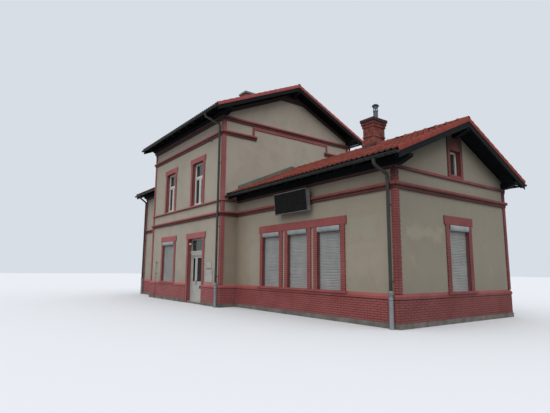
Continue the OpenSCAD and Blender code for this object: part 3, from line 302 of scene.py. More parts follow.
# Repairs in the render: u0, u1, z0, z1 on the near wing's street side and on its gable
STREET_REPAIRS = ((8.45, 9.70, 2.55, 3.35), (9.30, 9.50, 1.15, 1.62), (8.20, 8.33, 1.02, 1.18))
GABLE_REPAIRS = ((-2.95, -0.95, 2.55, 2.95), (1.55, 1.74, 2.40, 2.56), (1.90, 2.08, 1.58, 1.76),
                 (-2.66, -2.48, 1.85, 2.02))


def shade(color, k):
    """A colour made darker or brighter."""
    return tuple(min(1.0, c * k) for c in color)


def ground_dirt(g, top, tint=SPLASH, amount=0.45):
    """Splash and moss towards the ground, broken up by noise."""
    g.stain(tint, amount, g.span(g.z + g.noise(2.3) * 0.5, top + 0.25, 0.15))


def painted_masonry(g, base):
    """Dusky paint on brick: faded patches, specks and small chips."""
    blotch = g.patches(1.1, 5.0, 0.38, 0.66)
    g.col = g.mix(g.span(blotch, 0.0, 1.0, 0.12, 0.0), base, (0.0, 0.0, 0.0))
    g.stain((0.55, 0.33, 0.30), 0.06, blotch)
    g.stain((0.02, 0.01, 0.01), 0.14, g.patches(70.0, 2.0, 0.42, 0.62))
    g.stain((0.30, 0.17, 0.14), 0.5, g.patches(26.0, 6.0, 0.70, 0.74, rough=0.75))
    return g.col


def painted_eave_shade(g, near, far):
    """1 nearer to the rafters than near, 0 beyond far: where painted shade darkens the masonry under the
    eaves.
    """
    level = FAR.soffit(0.0)
    for x, before, after in ((X_ML - 0.15, FAR, MAIN), (X_MR + 0.15, MAIN, NEAR)):
        level = (g.x > x) * (after.soffit(0.0) - before.soffit(0.0)) + level
    return g.span(level - abs(g.y) * SLOPE - g.z + g.noise(4.0) * 0.10, far, near)


def tone_and_gable_shade(g):
    """The main block's paint is a paler pink than that of the wings, and the near gable's paint is darker, as
    painted shade.
    """
    pale = g.span(g.x, X_MR + 0.20, X_MR - 0.05) * 0.9
    return g.mix(g.x > X_RIGHT + 0.002, g.mix(pale, PAINT, PALE_PAINT), GABLE_SHADED_PAINT)


def red_paint(name, base=None):
    """Painted brick; with a base of its own only the faces that look up keep the paint, the others taking
    that base, which for the joints is painted shade.
    """
    g = Look(name, base or PAINT, 0.78, spec=0.3)
    paint = painted_masonry(g, tone_and_gable_shade(g))
    if base:
        g.col = g.mix(g.normal()[2] > 0.5, painted_masonry(g, base), paint)
    # Painted shade under the eaves
    g.stain(EAVE_SHADE, 0.80, painted_eave_shade(g, 0.45, 0.85))
    # Painted shade: the lower course of each cornice is darkened under the upper one
    for low in (CORNICE_Z, UPPER_CORNICE_Z, GABLE_CORNICE_Z):
        amount = g.span(g.z, low + 0.3 * COURSE_H, low + 0.7 * COURSE_H) * 0.60 + 0.20
        g.stain((0.025, 0.009, 0.009), amount, (g.z > low) * (g.z < low + COURSE_H))
    ground_dirt(g, 0.25)
    return g.done((55.0, 5.0, 0.003), (9.0, 2.0, 0.006))


def mended(g, along, here, repairs):
    """Rectangles with worn edges where here is 1: paler grey-green fillings with an ochre rim."""
    worn = (g.noise(3.4, 5.0) - 0.5) * 0.75
    for u0, u1, z0, z1 in repairs:
        du = abs(along - (u0 + u1) / 2) - (u1 - u0) / 2
        dz = abs(g.z - (z0 + z1) / 2) - (z1 - z0) / 2
        gap = g.math("MAXIMUM", du, dz) + worn
        g.stain(MEND_RIM, 0.30, g.span(gap, 0.12, 0.02) * here)
        g.stain(MEND, 0.45, g.span(gap, 0.10, -0.12) * here)


def painted_reveals(g, half, ends):
    """The outer part of the faces that line an opening is painted red with the bricks' joints as dark lines,
    all darkened as painted shade in the recess.
    """
    nx, ny, nz = g.normal()
    if ends:
        lining, depth, inside = abs(nx), abs(g.y), (g.x > ends[0] + 0.2) * (g.x < ends[1] - 0.2)
    else:
        lining, depth, inside = abs(ny), abs(g.x), abs(g.y) < 1.2
    mask = (lining + abs(nz) > 0.5) * (depth > half - 0.16) * inside * (g.z > 0.1) * (g.z < 7.2)
    # Joint lines and a darker red: painted shade in the reveals
    joint = g.math("FRACT", (g.z - SILL_Z) / REVEAL_PITCH) > 0.80
    wall = g.col
    painted_masonry(g, tone_and_gable_shade(g))
    g.stain(JOINT_SHADE, 0.75, joint)
    g.col = g.mix(mask, wall, g.mix(0.30, g.col, (0.03, 0.01, 0.01)))


def wall_render(name, half=None, ends=None, repairs=()):
    """Beige render. A wall with openings gives its distance from the middle and, along X, its ends."""
    g = Look(name, RENDER, 0.92, spec=0.2)
    g.col = g.mix(g.x < X_MR + 0.02, RENDER, MAIN_RENDER)
    # The near gable's face is darker, as painted shade
    g.col = g.mix(g.x > X_RIGHT - 0.01, g.col, GABLE_SHADED_RENDER)
    g.col = g.mix(g.span(g.noise(0.32, 4.0), 0.36, 0.66, 0.13, 0.0), g.col, (0.09, 0.08, 0.065))
    g.stain((0.255, 0.220, 0.170), 0.22, g.patches(1.7, 6.0, 0.45, 0.72))
    streak = g.patches(1.0, 5.0, 0.55, 0.75, g.scaled(5.0, 5.0, 0.35))
    g.stain((0.15, 0.14, 0.12), 0.07, streak)
    g.stain((0.20, 0.175, 0.135), 0.20, g.patches(130.0, 2.0, 0.35, 0.65))
    # Darker and warmer towards the corner where the near wing meets the main block
    nook = g.span(abs(g.x - X_MR), 1.3, 0.0) * (abs(g.y) < Y_MAIN - 0.005) * (g.z < CORNICE_Z)
    g.stain((0.215, 0.150, 0.092), 0.50, nook)
    along, here = (g.x, g.y < 0.05 - Y_WING) if ends else (g.y, g.x > X_RIGHT - 0.02)
    mended(g, along, here, repairs)
    low = g.span(g.z + g.noise(1.5) * 0.9, 2.1, 1.2)
    g.stain((0.145, 0.13, 0.105), 0.22, low)
    if half:
        painted_reveals(g, half, ends)
    # Painted shade under the eaves
    g.stain((0.040, 0.036, 0.030), 0.42, painted_eave_shade(g, 0.12, 0.60))
    return g.done((95.0, 4.0, 0.0025), (14.0, 3.0, 0.004))


def clay(name, base, lichen=0.20, vary=0.20, sooty=0.35, roof=None):
    """Fired clay, each tile a little different, with lichen and patches of soot; on a roof, painted shade and
    soot where its tiles lie low and on their steeper faces.
    """
    g = Look(name, base, 0.82, spec=0.15)
    cell = g.node("TexVoronoi", "Color", {"feature": "F1"}, Vector=g.scaled(4.6, 2.9, 2.9), Scale=1.0)
    g.col = g.mix(g.xyz(cell)[0], shade(base, 1 - vary), shade(base, 1 + vary))
    g.stain(shade(base, 0.30), sooty, g.patches(3.2, 6.0, 0.46, 0.72))
    if roof:
        # Painted shade and soot in the troughs and under each course's lip
        low = g.span(g.z + abs(g.y) * SLOPE - roof.tiles(0.0), 0.012, -0.026)
        g.stain((0.026, 0.011, 0.010), 0.66, low)
        # Painted shade and soot on the faces that don't look up
        g.stain((0.030, 0.013, 0.011), 0.75, g.span(g.normal()[2], 0.72, 0.45))
    # Painted shade and moss along the main roof's eave edge
    if roof is MAIN:
        edge = g.span(abs(g.y), roof.reach - 0.06, roof.reach)
        g.stain((0.020, 0.013, 0.012), 0.85, edge)
    g.stain(LICHEN, lichen, g.patches(19.0, 6.0, 0.63, 0.72, rough=0.7))
    return g.done((60.0, 4.0, 0.0025))


def chimney_brick(name, base):
    """Unpainted brick, sooty on one side and at the wing stack's head; the main stack's slab is grey."""
    g = Look(name, base, 0.85, spec=0.25)
    g.col = g.mix(g.patches(7.0, 5.0, 0.35, 0.68), shade(base, 0.62), shade(base, 1.30))
    side = g.span(g.y + g.noise(3.0) * 0.8, 0.30, 0.75)
    g.stain((0.030, 0.024, 0.022), 0.85, side * g.patches(5.0, 6.0, 0.47, 0.60, rough=0.7))
    head = g.span(g.z + g.noise(6.0) * 0.12, STACK_TOP - 0.22, STACK_TOP - 0.04)
    g.stain((0.030, 0.027, 0.030), 0.8, head)
    g.col = g.mix(g.x < X_MR, g.col, (0.26, 0.115, 0.10))
    g.col = g.mix(g.z > MSTACK_TOP - SLAB_H - 0.001, g.col, (0.215, 0.205, 0.200))
    return g.done((48.0, 5.0, 0.004))


def timber(name, base, rough=0.7, spec=0.3):
    """Stained or painted boards with their grain along X."""
    g = Look(name, base, rough, spec=spec)
    fibre = g.noise(3.0, 6.0, g.scaled(0.6, 14.0, 14.0), 0.6)
    g.col = g.mix(g.span(fibre, 0.35, 0.68), shade(base, 0.70), shade(base, 1.30))
    g.bump(fibre, 0.002)
    g.stain(shade(base, 1.9), 0.30, g.patches(2.1, 4.0, 0.52, 0.75))
    return g.done()


def metal_paint(name, base, rough=0.42, metallic=0.0, dull=0.4, cloudy=0.20, spec=0.5, rusty=None):
    """Coated sheet with weathering that also changes its gloss; rusty gives the heights of a rusty run."""
    g = Look(name, base, rough, metallic, spec=spec)
    g.col = g.mix(g.patches(2.6, 5.0, 0.35, 0.70), shade(base, 1 - cloudy), shade(base, 1 + cloudy))
    g.stain(shade(base, 0.55), dull, g.patches(1.0, 6.0, 0.50, 0.72, g.scaled(16.0, 16.0, 0.9)))
    if rusty:
        z = g.z + (g.noise(7.0, 5.0) - 0.5) * 0.6
        run = g.span(z, rusty[0] - 0.15, rusty[0] + 0.15) * g.span(z, rusty[1] + 0.2, rusty[1])
        g.stain(RUST, 0.80, run)
    g.put(g.inputs["Roughness"], g.span(g.noise(11.0, 4.0), 0.3, 0.7, rough - 0.10, rough + 0.15))
    return g.done((30.0, 3.0, 0.0008))


def white_paint(name, base):
    """Brushed paint with grime in long runs."""
    g = Look(name, base, 0.45, spec=0.45)
    g.col = g.mix(g.patches(5.0, 5.0, 0.35, 0.7), shade(base, 0.90), shade(base, 1.06))
    grime = g.patches(3.0, 6.0, 0.52, 0.74, g.scaled(8.0, 8.0, 1.2))
    g.bump(g.noise(40.0, 2.0, g.scaled(1.0, 1.0, 0.25)), 0.0006)
    g.stain((0.24, 0.22, 0.18), 0.30, grime)
    return g.done()


def concrete(name, base):
    """Rough concrete with moss at the ground."""
    g = Look(name, base, 0.93, spec=0.2)
    g.col = g.mix(g.patches(2.4, 6.0, 0.35, 0.7), shade(base, 0.66), shade(base, 1.22))
    g.stain(shade(base, 0.50), 0.45, g.patches(40.0, 4.0, 0.5, 0.7))
    g.bump(g.noise(22.0, 6.0, rough=0.7), 0.010)
    ground_dirt(g, 0.02, MOSS, 0.55)
    return g.done()


def glass(name, base, through, spec, ior=1.45):
    """Old glass, a little wavy and clouded."""
    g = Look(name, base, 0.04, spec=spec)
    for key, value in (("Transmission Weight", through), ("IOR", ior),
                       ("Roughness", g.span(g.noise(4.0, 4.0), 0.3, 0.7, 0.02, 0.09))):
        g.put(g.inputs[key], value)
    return g.done((3.0, 1.0, 0.0008))


mat_red = red_paint("painted_brick")
# The joints' colour is painted shade on the faces that don't look up
mat_joint_shade = red_paint("painted_joint_shade", JOINT_SHADE)
mat_wall = wall_render("render_plain")
mat_main_wall = wall_render("render_main_front", Y_MAIN, (X_ML, X_MR))
mat_wing_wall = wall_render("render_wing_front", Y_WING, (X_MR, X_RIGHT), STREET_REPAIRS)
mat_gable_wall = wall_render("render_wing_gable", X_RIGHT, repairs=GABLE_REPAIRS)
mat_ridge = clay("clay_ridge", (0.210, 0.055, 0.040), 0.15, 0.30)
mat_verge = clay("clay_verge_tile", (0.320, 0.080, 0.075), 0.06, 0.06, 0.20)
mat_wing_verge = clay("clay_wing_verge_tile", (0.240, 0.050, 0.036), 0.06, 0.08, 0.25)
# Nearly black clay for the ridge vents and for the painted shade at the ridges' open ends
mat_vent_and_end_shade = clay("clay_vent_and_end_shade", (0.040, 0.020, 0.018), 0.10)
mat_chimney = chimney_brick("chimney_brick", (0.235, 0.068, 0.054))
# Nearly black: partly a dark stain, partly painted shade under the eaves
mat_dark_and_shade = timber("dark_timber_and_shade", (0.0065, 0.0080, 0.0085), 0.88, 0.10)
mat_verge_board = timber("verge_board_paint", (0.0085, 0.0108, 0.0122), 0.80, 0.12)
mat_floor_wood = timber("floor_boards", (0.18, 0.12, 0.07))
mat_gutter = metal_paint("gutter_paint", (0.013, 0.015, 0.014), 0.6, spec=0.3)
mat_pipe = metal_paint("downpipe_paint", (0.038, 0.040, 0.034), 0.6, spec=0.35, rusty=(1.02, 1.22))
mat_flashing = metal_paint("flashing_sheet", (0.135, 0.145, 0.120), 0.6, spec=0.3)
mat_skirt = metal_paint("skirt_sheet", (0.090, 0.040, 0.033), 0.6, spec=0.3)
mat_stand = metal_paint("standpipe_paint", (0.225, 0.255, 0.275), 0.5)
mat_shutter = metal_paint("shutter_slats", (0.330, 0.335, 0.322), 0.80, 0.0, 0.06, 0.10, spec=0.2)
mat_box = metal_paint("shutter_boxes", (0.345, 0.362, 0.360), 0.45, 0.10, 0.10)
mat_guide = metal_paint("shutter_guides", (0.120, 0.122, 0.120), 0.45, 0.3)
mat_white = white_paint("white_paint", (0.50, 0.495, 0.455))
# Brighter than the doors' white: painted light on the window frames
mat_sash_lit = white_paint("sash_paint_lit", (0.66, 0.66, 0.62))
mat_glass = glass("window_glass", (0.29, 0.38, 0.33), 0.92, 0.30)
mat_door_glass = glass("door_glass", (0.030, 0.034, 0.028), 0.85, 0.03, 1.16)
mat_flue = metal_paint("flue_sheet", (0.112, 0.118, 0.135), 0.40, 0.5)
mat_cowl = metal_paint("flue_cowl", (0.034, 0.036, 0.042), 0.5, 0.3)
mat_handle = metal_paint("dark_handle", (0.045, 0.045, 0.045), 0.35, 0.4)
mat_sign = metal_paint("sign_face", (0.0065, 0.0058, 0.0054), 0.75, 0.0, 0.1, spec=0.12)
mat_sign_side = metal_paint("sign_sides", (0.300, 0.305, 0.295), 0.35, 0.3, 0.15)
mat_sign_frame = metal_paint("sign_frame", (0.135, 0.140, 0.140), 0.4, 0.5)
mat_board = metal_paint("notice_panel", (0.47, 0.46, 0.42), 0.5, 0.0, 0.15)
mat_board_edge = metal_paint("notice_edge", (0.36, 0.355, 0.33), 0.5, 0.0, 0.15)
mat_fitting = metal_paint("fitting_steel", (0.085, 0.086, 0.088), 0.5, 0.4)
mat_lamp = metal_paint("lamp_glass", (0.86, 0.86, 0.83), 0.25, 0.0, 0.02, 0.02)
mat_shadow_line = metal_paint("door_shadow_lines", (0.060, 0.060, 0.055), 0.7, spec=0.2)
mat_concrete = concrete("rough_concrete", (0.215, 0.195, 0.175))

# Materials of the CAD pieces that stay in view
CARRIED = (
    (mat_concrete, "ground_floors concrete_base"), (mat_floor_wood, "upper_floors"),
    (mat_main_wall, "main_front_wall_sides main_front_wall_over main_back_wall"),
    (mat_wall, "main_gable_walls"), (mat_wing_wall, "wing_front_walls wing_back_walls"),
    (mat_gable_wall, "wing_gable_sides wing_gable_tops"), (mat_red, "window_aprons plinth_cap window_sills"),
    (mat_joint_shade, "brick_plinth main_cornice string_courses upper_cornices corner_pilasters"),
    (mat_joint_shade, "opening_surrounds"), (mat_verge_board, "verge_boards"), (mat_flashing, "roof_flashings"),
    (mat_gutter, "gutters"), (mat_pipe, "swan_necks downpipes"), (mat_chimney, "chimneys"),
    (mat_white, "door_frame narrow_leaf wide_leaf rear_door"), (mat_glass, "window_glass"),
    (mat_door_glass, "narrow_leaf_glass wide_leaf_glass"), (mat_handle, "door_handle wall_insulator"),
    (mat_fitting, "lightning_conductor"),
)
for mat, names in CARRIED:
    for name in names.split():
        for slot in nodes[name].material_slots:
            slot.material = mat

# Brickwork
JOINT, PROUD, SHADOW_GAP, TOOTH, TIGHT = 0.015, 0.007, 0.026, 0.018, 0.004
BRICK_L, BRICK_H, SOLDIER_W, LONG, STACK_BRICK = 0.25, 0.075, 0.077, 0.50, 0.26
CORNER_OUT = TRIM_OUT + PROUD + JOINT / 2     # bricks meet at the corner with no upright joint
RIDGE_FREE = 0.35                             # half of the band's stretch that the far wing's ridge hides
ATTIC_COURSE_Z = 6.10
plinth, bands, pilasters, surrounds, stack = (Shape() for _ in range(5))


def brick(shape, face, u0, u1, z0, z1, out, root=0.006):
    """One brick face standing a little proud, its arrises eased; root is how deep its body goes."""
    j, e = JOINT / 2, 0.004
    d = out + PROUD + rng.uniform(-0.0012, 0.0012)
    u0, u1, z0, z1 = u0 + j, u1 - j, z0 + j, z1 - j
    if u1 - u0 < 0.02:
        return
    ring, inner = ([(u0 + i, z0 + i), (u1 - i, z0 + i), (u1 - i, z1 - i), (u0 + i, z1 - i)] for i in (0, e))
    shape.tube([[face.at(u, depth, z) for u, z in points]
                for depth, points in ((out - root, ring), (d - e * 0.6, ring), (d, inner))])


def lay(shape, face, u0, u1, z0, z1, out, rows, length=BRICK_L):
    """Courses of bricks on a rectangle of a face, every other course moved by half a brick."""
    ch = (z1 - z0) / rows
    for r in range(rows):
        u = u0 - (length / 2 if r % 2 else 0)
        while u < u1 - 0.03:
            brick(shape, face, max(u, u0), min(u + length, u1), z0 + r * ch, z0 + (r + 1) * ch, out)
            u += length


def jamb_bricks(shape, face, u0, u1, z0, z1, tooth_l, tooth_r):
    """Courses as wide as the jamb; every other one runs past its edges into the render."""
    rows = max(1, round((z1 - z0) / BRICK_H))
    ch = (z1 - z0) / rows
    for r in range(rows):
        a, b = (u0 - tooth_l, u1 + tooth_r) if r % 2 else (u0, u1)
        a, b = a - (rng.uniform(0, 0.004) if tooth_l else 0), b + (rng.uniform(0, 0.004) if tooth_r else 0)
        brick(shape, face, a, b, z0 + r * ch, z0 + (r + 1) * ch, TRIM_OUT, TRIM_OUT)


def soldiers(face, half, z0, z1):
    """The upright bricks of a head, closer together than the others."""
    count = round(2 * half / SOLDIER_W)
    w = 2 * half / count
    for k in range(count):
        u = k * w - half
        brick(surrounds, face, u - TIGHT, u + w + TIGHT, z0 - TIGHT, z1 + TIGHT, TRIM_OUT)


def main_fronts(out):
    """The main block's two long faces at a projection: face, u0, u1."""
    xm, half = (X_MR + X_ML) / 2, (X_MR - X_ML) / 2 + out
    return [(make_face(xm, Y_MAIN), -half, half) for make_face in (street, rear)]


def main_block(out):
    """All four faces of the main block."""
    return main_fronts(out) + [(face, -Y_MAIN - out, Y_MAIN + out) for face in MAIN_GABLES]


def street_part(out):
    """The long faces with the short returns that the street cornice has on the gables."""
    inner = STRIP_IN - 2 * COURSE_OUT
    return main_fronts(out) + [(face, a, b) for face in MAIN_GABLES
                               for a, b in ((-Y_MAIN - out, -inner), (inner, Y_MAIN + out))]


def outline(out):
    """Every stretch of the whole building's outline."""
    rows = main_fronts(out)
    for face in MAIN_GABLES:
        rows += [(face, -Y_MAIN - out, -Y_WING - out), (face, Y_WING + out, Y_MAIN + out)]
    rows += [(street(0, Y_WING), X_MR + out, X_RIGHT + out), (rear(0, Y_WING), -X_RIGHT - out, -X_MR - out),
             (street(0, Y_WING), X_LEFT - out, X_ML - out), (rear(0, Y_WING), -X_ML + out, -X_LEFT + out)]
    return rows + [(face, -Y_WING - out, Y_WING + out) for face in (NEAR_GABLE, FAR_GABLE)]


def door_split(face, u0, u1):
    """The stretch less the doorway with its surround, on the two long faces of the main block."""
    if abs(face.n[1]) and abs(face.o[1]) == Y_MAIN:
        c, h = (X_DOOR - face.o[0]) * face.u[0], DOOR_W / 2 + JAMB_W
        return [(u0, c - h), (c + h, u1)]
    return [(u0, u1)]


def band(face, u0, u1, z0, z1, out, gap=SHADOW_GAP):
    """One projecting course; a raked joint under it keeps a line of shadow."""
    lay(bands, face, u0, u1, z0 + gap, z1 + JOINT / 2, out, 1, LONG)


def two_courses(stretches, z):
    """A cornice's lower course and the upper one that projects further."""
    for k in (1, 2):
        for face, u0, u1 in stretches(k * COURSE_OUT):
            band(face, u0, u1, z + (k - 1) * COURSE_H, z + k * COURSE_H, k * COURSE_OUT)


for face, u0, u1 in outline(PLINTH_OUT):
    for a, b in door_split(face, u0, u1):
        lay(plinth, face, a, b, BASE_H, CAP_Z - SHADOW_GAP, PLINTH_OUT, 9)
plinth.make("plinth_bricks", mat_red, "red_brick")

two_courses(outline, CORNICE_Z)
two_courses(street_part, UPPER_CORNICE_Z)
two_courses(main_block, GABLE_CORNICE_Z)
STRING = STRING_Z, STRING_Z + STRING_H, STRING_OUT
for face, u0, u1 in main_block(STRING_OUT)[:2]:
    band(face, u0, u1, *STRING)
for face in MAIN_GABLES:
    middle = [(-RIDGE_FREE, RIDGE_FREE)] if face.n[0] > 0 else []
    for a, b in [(-STRIP_IN, -RIDGE_FREE), *middle, (RIDGE_FREE, STRIP_IN)]:
        lay(bands, face, a, b, GABLE_CORNICE_Z - GABLE_DROP, GABLE_CORNICE_Z, TRIM_OUT, 2)
    for a, b in ((-STRIP_IN - STRIP_W, -STRIP_IN), (STRIP_IN, STRIP_IN + STRIP_W)):
        lay(bands, face, a, b, UPPER_CORNICE_Z + 2 * COURSE_H, GABLE_CORNICE_Z, TRIM_OUT, 6)
    for a, b in ((-Y_MAIN - STRING_OUT, -Y_WING - STRING_OUT), (Y_WING + STRING_OUT, Y_MAIN + STRING_OUT)):
        band(face, a, b, *STRING)
WING_ENDS = (X_RIGHT, 1, X_MR, RIGHT_TOP), (X_LEFT, -1, X_ML, LEFT_TOP)
for x, sign, inner, top in WING_ENDS:
    out, low = STRING_OUT, top - STRING_H
    band(gable(x, sign), -Y_WING - out, Y_WING + out, low, top, out, 0.0)
    for face, k in ((street(x, Y_WING), sign), (rear(x, Y_WING), -sign)):
        band(face, *sorted((k * out, -k * (abs(x - inner) - out))), low, top, out)
bands.make("cornice_bricks", mat_red, "red_brick")


def corner_bricks(x, half, sign, z0, z1):
    """Bricks on both faces of the two pilasters at one end of a block."""
    right, left = (-PILASTER_W, CORNER_OUT, TOOTH, 0.0), (-CORNER_OUT, PILASTER_W, 0.0, TOOTH)
    for face, k in ((street(x, half), sign), (rear(x, half), -sign)):
        a, b, *teeth = right if k > 0 else left
        jamb_bricks(pilasters, face, a, b, z0, z1, *teeth)
    face = gable(x, sign)
    jamb_bricks(pilasters, face, -half - CORNER_OUT, -half + RETURN_W, z0, z1, 0.0, TOOTH)
    jamb_bricks(pilasters, face, half - RETURN_W, half + CORNER_OUT, z0, z1, TOOTH, 0.0)


CORNICE_TOP = CORNICE_Z + 2 * COURSE_H
for z0, z1 in ((SILL_Z, CORNICE_Z), (CORNICE_TOP, STRING_Z), (STRING_Z + STRING_H, UPPER_CORNICE_Z),
               (UPPER_CORNICE_Z + 2 * COURSE_H, GABLE_CORNICE_Z)):
    corner_bricks(X_MR, Y_MAIN, 1, z0, z1)
    corner_bricks(X_ML, Y_MAIN, -1, z0, z1)
for x, sign, inner, top in WING_ENDS:
    for z0, z1 in ((SILL_Z, CORNICE_Z), (CORNICE_TOP, top - STRING_H)):
        corner_bricks(x, Y_WING, sign, z0, z1)
pilasters.make("pilaster_bricks", mat_red, "red_brick")


def surround_bricks(face, w, z0, z1, jamb=JAMB_W, head=HEAD_H, ear=EAR_W):
    """The bricks of an opening's jambs and head."""
    jamb_bricks(surrounds, face, -w / 2 - jamb, -w / 2, z0, z1, TOOTH, 0.0)
    jamb_bricks(surrounds, face, w / 2, w / 2 + jamb, z0, z1, 0.0, TOOTH)
    if head:
        soldiers(face, w / 2 + jamb + ear, z1, z1 + head)


def wing_gable_bricks(face, attic_low):
    surround_bricks(face, WINDOW_W, SILL_Z, HEAD_Z)
    surround_bricks(face, ATTIC_W, attic_low, ATTIC_HEAD_Z, ATTIC_JAMB_W, ear=0)


def near_attic_bricks(face):
    """The near attic window's bricks also go up to the soffit and down to the string course."""
    count, reach = 12, ATTIC_W / 2 + ATTIC_JAMB_W
    for k in range(count):
        a, b = ((2 * k + d) * reach / count - reach for d in (0, 2))
        brick(surrounds, face, a, b, ATTIC_HEAD_Z + HEAD_H - 0.01, ATTIC_COURSE_Z, TRIM_OUT, TRIM_OUT)
        inner, outer = sorted((abs(a), abs(b)))
        if inner > PURLIN_W / 2:
            brick(surrounds, face, a, b, ATTIC_COURSE_Z - 0.01, NEAR.soffit(outer), TRIM_OUT, TRIM_OUT)
    for a, b in ((-ATTIC_W / 2, -0.05), (-0.05, 0.20), (0.20, ATTIC_W / 2)):
        brick(surrounds, face, a, b, RIGHT_TOP + 0.01, ATTIC_SILL_Z + 0.005, TRIM_OUT, TRIM_OUT)


for make_face in (street, rear):
    surround_bricks(make_face(X_DOOR, Y_MAIN), DOOR_W, 0.0, HEAD_Z)
    surround_bricks(make_face(X_BAY, Y_MAIN), DOOR_W, SILL_Z, HEAD_Z)
    for k in (-1, 0, 1):
        surround_bricks(make_face(X_TRIPLE + k * TRIPLE_PITCH, Y_WING), WINDOW_W, SILL_Z, HEAD_Z, head=0)
    reach = TRIPLE_PITCH + WINDOW_W / 2 + JAMB_W + EAR_W
    soldiers(make_face(X_TRIPLE, Y_WING), reach, HEAD_Z, HEAD_Z + HEAD_H)
    for x in (X_DOOR, X_BAY):
        surround_bricks(make_face(x, Y_MAIN), WINDOW_W, STRING[1], UPPER_HEAD_Z, head=UPPER_HEAD_H)
wing_gable_bricks(NEAR_GABLE, RIGHT_TOP)
near_attic_bricks(NEAR_GABLE)
wing_gable_bricks(FAR_GABLE, ATTIC_SILL_Z)
surrounds.make("surround_bricks", mat_red, "red_brick")


# Chimneys: brick faces on the CAD shafts

def stack_faces(x, y, l, d):
    return [(Face(x, y - d / 2, 1, 0), l / 2), (Face(x, y + d / 2, -1, 0), l / 2),
            (Face(x + l / 2, y, 0, 1), d / 2), (Face(x - l / 2, y, 0, -1), d / 2)]


WING_STACK = stack_faces(STACK_X, STACK_Y, STACK_L, STACK_D)
for out, z0, z1 in [(0.0, FOOT_Z, STACK_TOP - 3 * CORBEL_H)] + [
        (k * CORBEL_OUT, STACK_TOP - (4 - k) * CORBEL_H, STACK_TOP - (3 - k) * CORBEL_H) for k in (1, 2, 3)]:
    for face, half in WING_STACK:
        lay(stack, face, -half - out, half + out, z0, z1, out, round((z1 - z0) / BRICK_H), STACK_BRICK)
for face, half in WING_STACK:
    lay(stack, face, -half - FOOT_OUT, half + FOOT_OUT, FOOT_Z + BRICK_H, FOOT_Z + 2 * BRICK_H, FOOT_OUT, 1,
        STACK_BRICK)
for face, half in stack_faces(MSTACK_X, 0.0, MSTACK_W, MSTACK_W):
    lay(stack, face, -half, half, MAIN.tiles(0) + 0.10, MSTACK_TOP - SLAB_H, 0.0, 13, STACK_BRICK)
stack.make("chimney_bricks", mat_chimney, "red_brick")

# The flue: a pipe with collars, six bars round its head, a ring on them and a low domed cowl
FLUE_X, FLUE_Y, FLUE_R, FLUE_H, SLOTS_H, COWL_R = STACK_X + 0.04, STACK_Y + 0.10, 0.095, 0.44, 0.18, 0.145
FLUE_TOP = STACK_TOP + FLUE_H
flue, cowl = Shape(), Shape()
flue.turned(FLUE_X, FLUE_Y, STACK_TOP, [
    (FLUE_R + 0.014, 0), (FLUE_R + 0.010, 0.04), (FLUE_R, 0.045), (FLUE_R, FLUE_H - 0.05),
    (FLUE_R + 0.011, FLUE_H - 0.045), (FLUE_R + 0.011, FLUE_H - 0.005), (FLUE_R, FLUE_H),
    (FLUE_R - 0.008, FLUE_H), (FLUE_R - 0.010, FLUE_H / 2)])
for k in range(6):
    a = k * math.pi / 3
    section = [(FLUE_X + r * math.cos(t), FLUE_Y + r * math.sin(t)) for r, t in (
        (FLUE_R - 0.008, a - 0.16), (FLUE_R, a - 0.16), (FLUE_R, a + 0.16), (FLUE_R - 0.008, a + 0.16))]
    flue.tube([[(x, y, z) for x, y in section] for z in (FLUE_TOP - 0.01, FLUE_TOP + SLOTS_H + 0.03)])
flue.turned(FLUE_X, FLUE_Y, FLUE_TOP + SLOTS_H, [(FLUE_R + 0.006, -0.055), (FLUE_R + 0.006, 0.03)])
cowl.turned(FLUE_X, FLUE_Y, FLUE_TOP + SLOTS_H, [
    (COWL_R - 0.02, 0.004), (COWL_R, 0.012), (COWL_R, 0.045), (COWL_R - 0.012, 0.06), (0.09, 0.095),
    (0.02, 0.109)])
flue.make("flue_pipe", mat_flue, "sheet_metal", replaces=("chimney_flue",), smooth=40)
cowl.make("flue_cowl", mat_cowl, "sheet_metal", replaces=("chimney_flue",), smooth=40)

# Cast standpipes with their socket
stands = Shape()
for x, y in ((X_RIGHT - 0.16, Y_WING), (X_MR - 0.12, Y_MAIN), (X_LEFT + 0.20, Y_WING)):
    for side in (-1, 1):
        stands.turned(x, side * (y + 0.155), 0, [
            (0.068, 0.0), (0.068, 0.03), (0.062, 0.05), (0.061, 0.80), (0.070, 0.81), (0.070, 0.835),
            (0.061, 0.85), (0.061, 0.93), (0.075, 0.955), (0.075, 1.03), (0.068, 1.05)])
stands.make("cast_standpipes", mat_stand, "sheet_metal", replaces=("standpipes",), smooth=40)


def skirt(shape, x, l, y0, y1, roof):
    """Sheet dressed round a chimney's foot and down into the tiles."""
    x0, x1, t = x - l / 2, x + l / 2, 0.012
    rows = []
    for g, up in ((t, -0.09), (t, 0.11), (-0.004, 0.11), (-0.004, -0.09)):
        rows.append([(px + math.copysign(g, px - x), py + k * g, roof.tiles(py) + up) for px, py, k in (
            (x0, y0, -1), (x1, y0, -1), (x1, 0.0, 0), (x1, y1, 1), (x0, y1, 1), (x0, 0.0, 0))])
    shape.grid(rows, closed_rows=True, closed_cols=True)


skirts = Shape()
skirt(skirts, STACK_X, STACK_L + 2 * CORBEL_OUT, STACK_Y - STACK_D / 2 - CORBEL_OUT,
      STACK_Y + STACK_D / 2 + CORBEL_OUT, NEAR)
skirt(skirts, MSTACK_X, MSTACK_W, -MSTACK_W / 2, MSTACK_W / 2, MAIN)
skirts.make("chimney_skirts", mat_skirt, "sheet_metal")

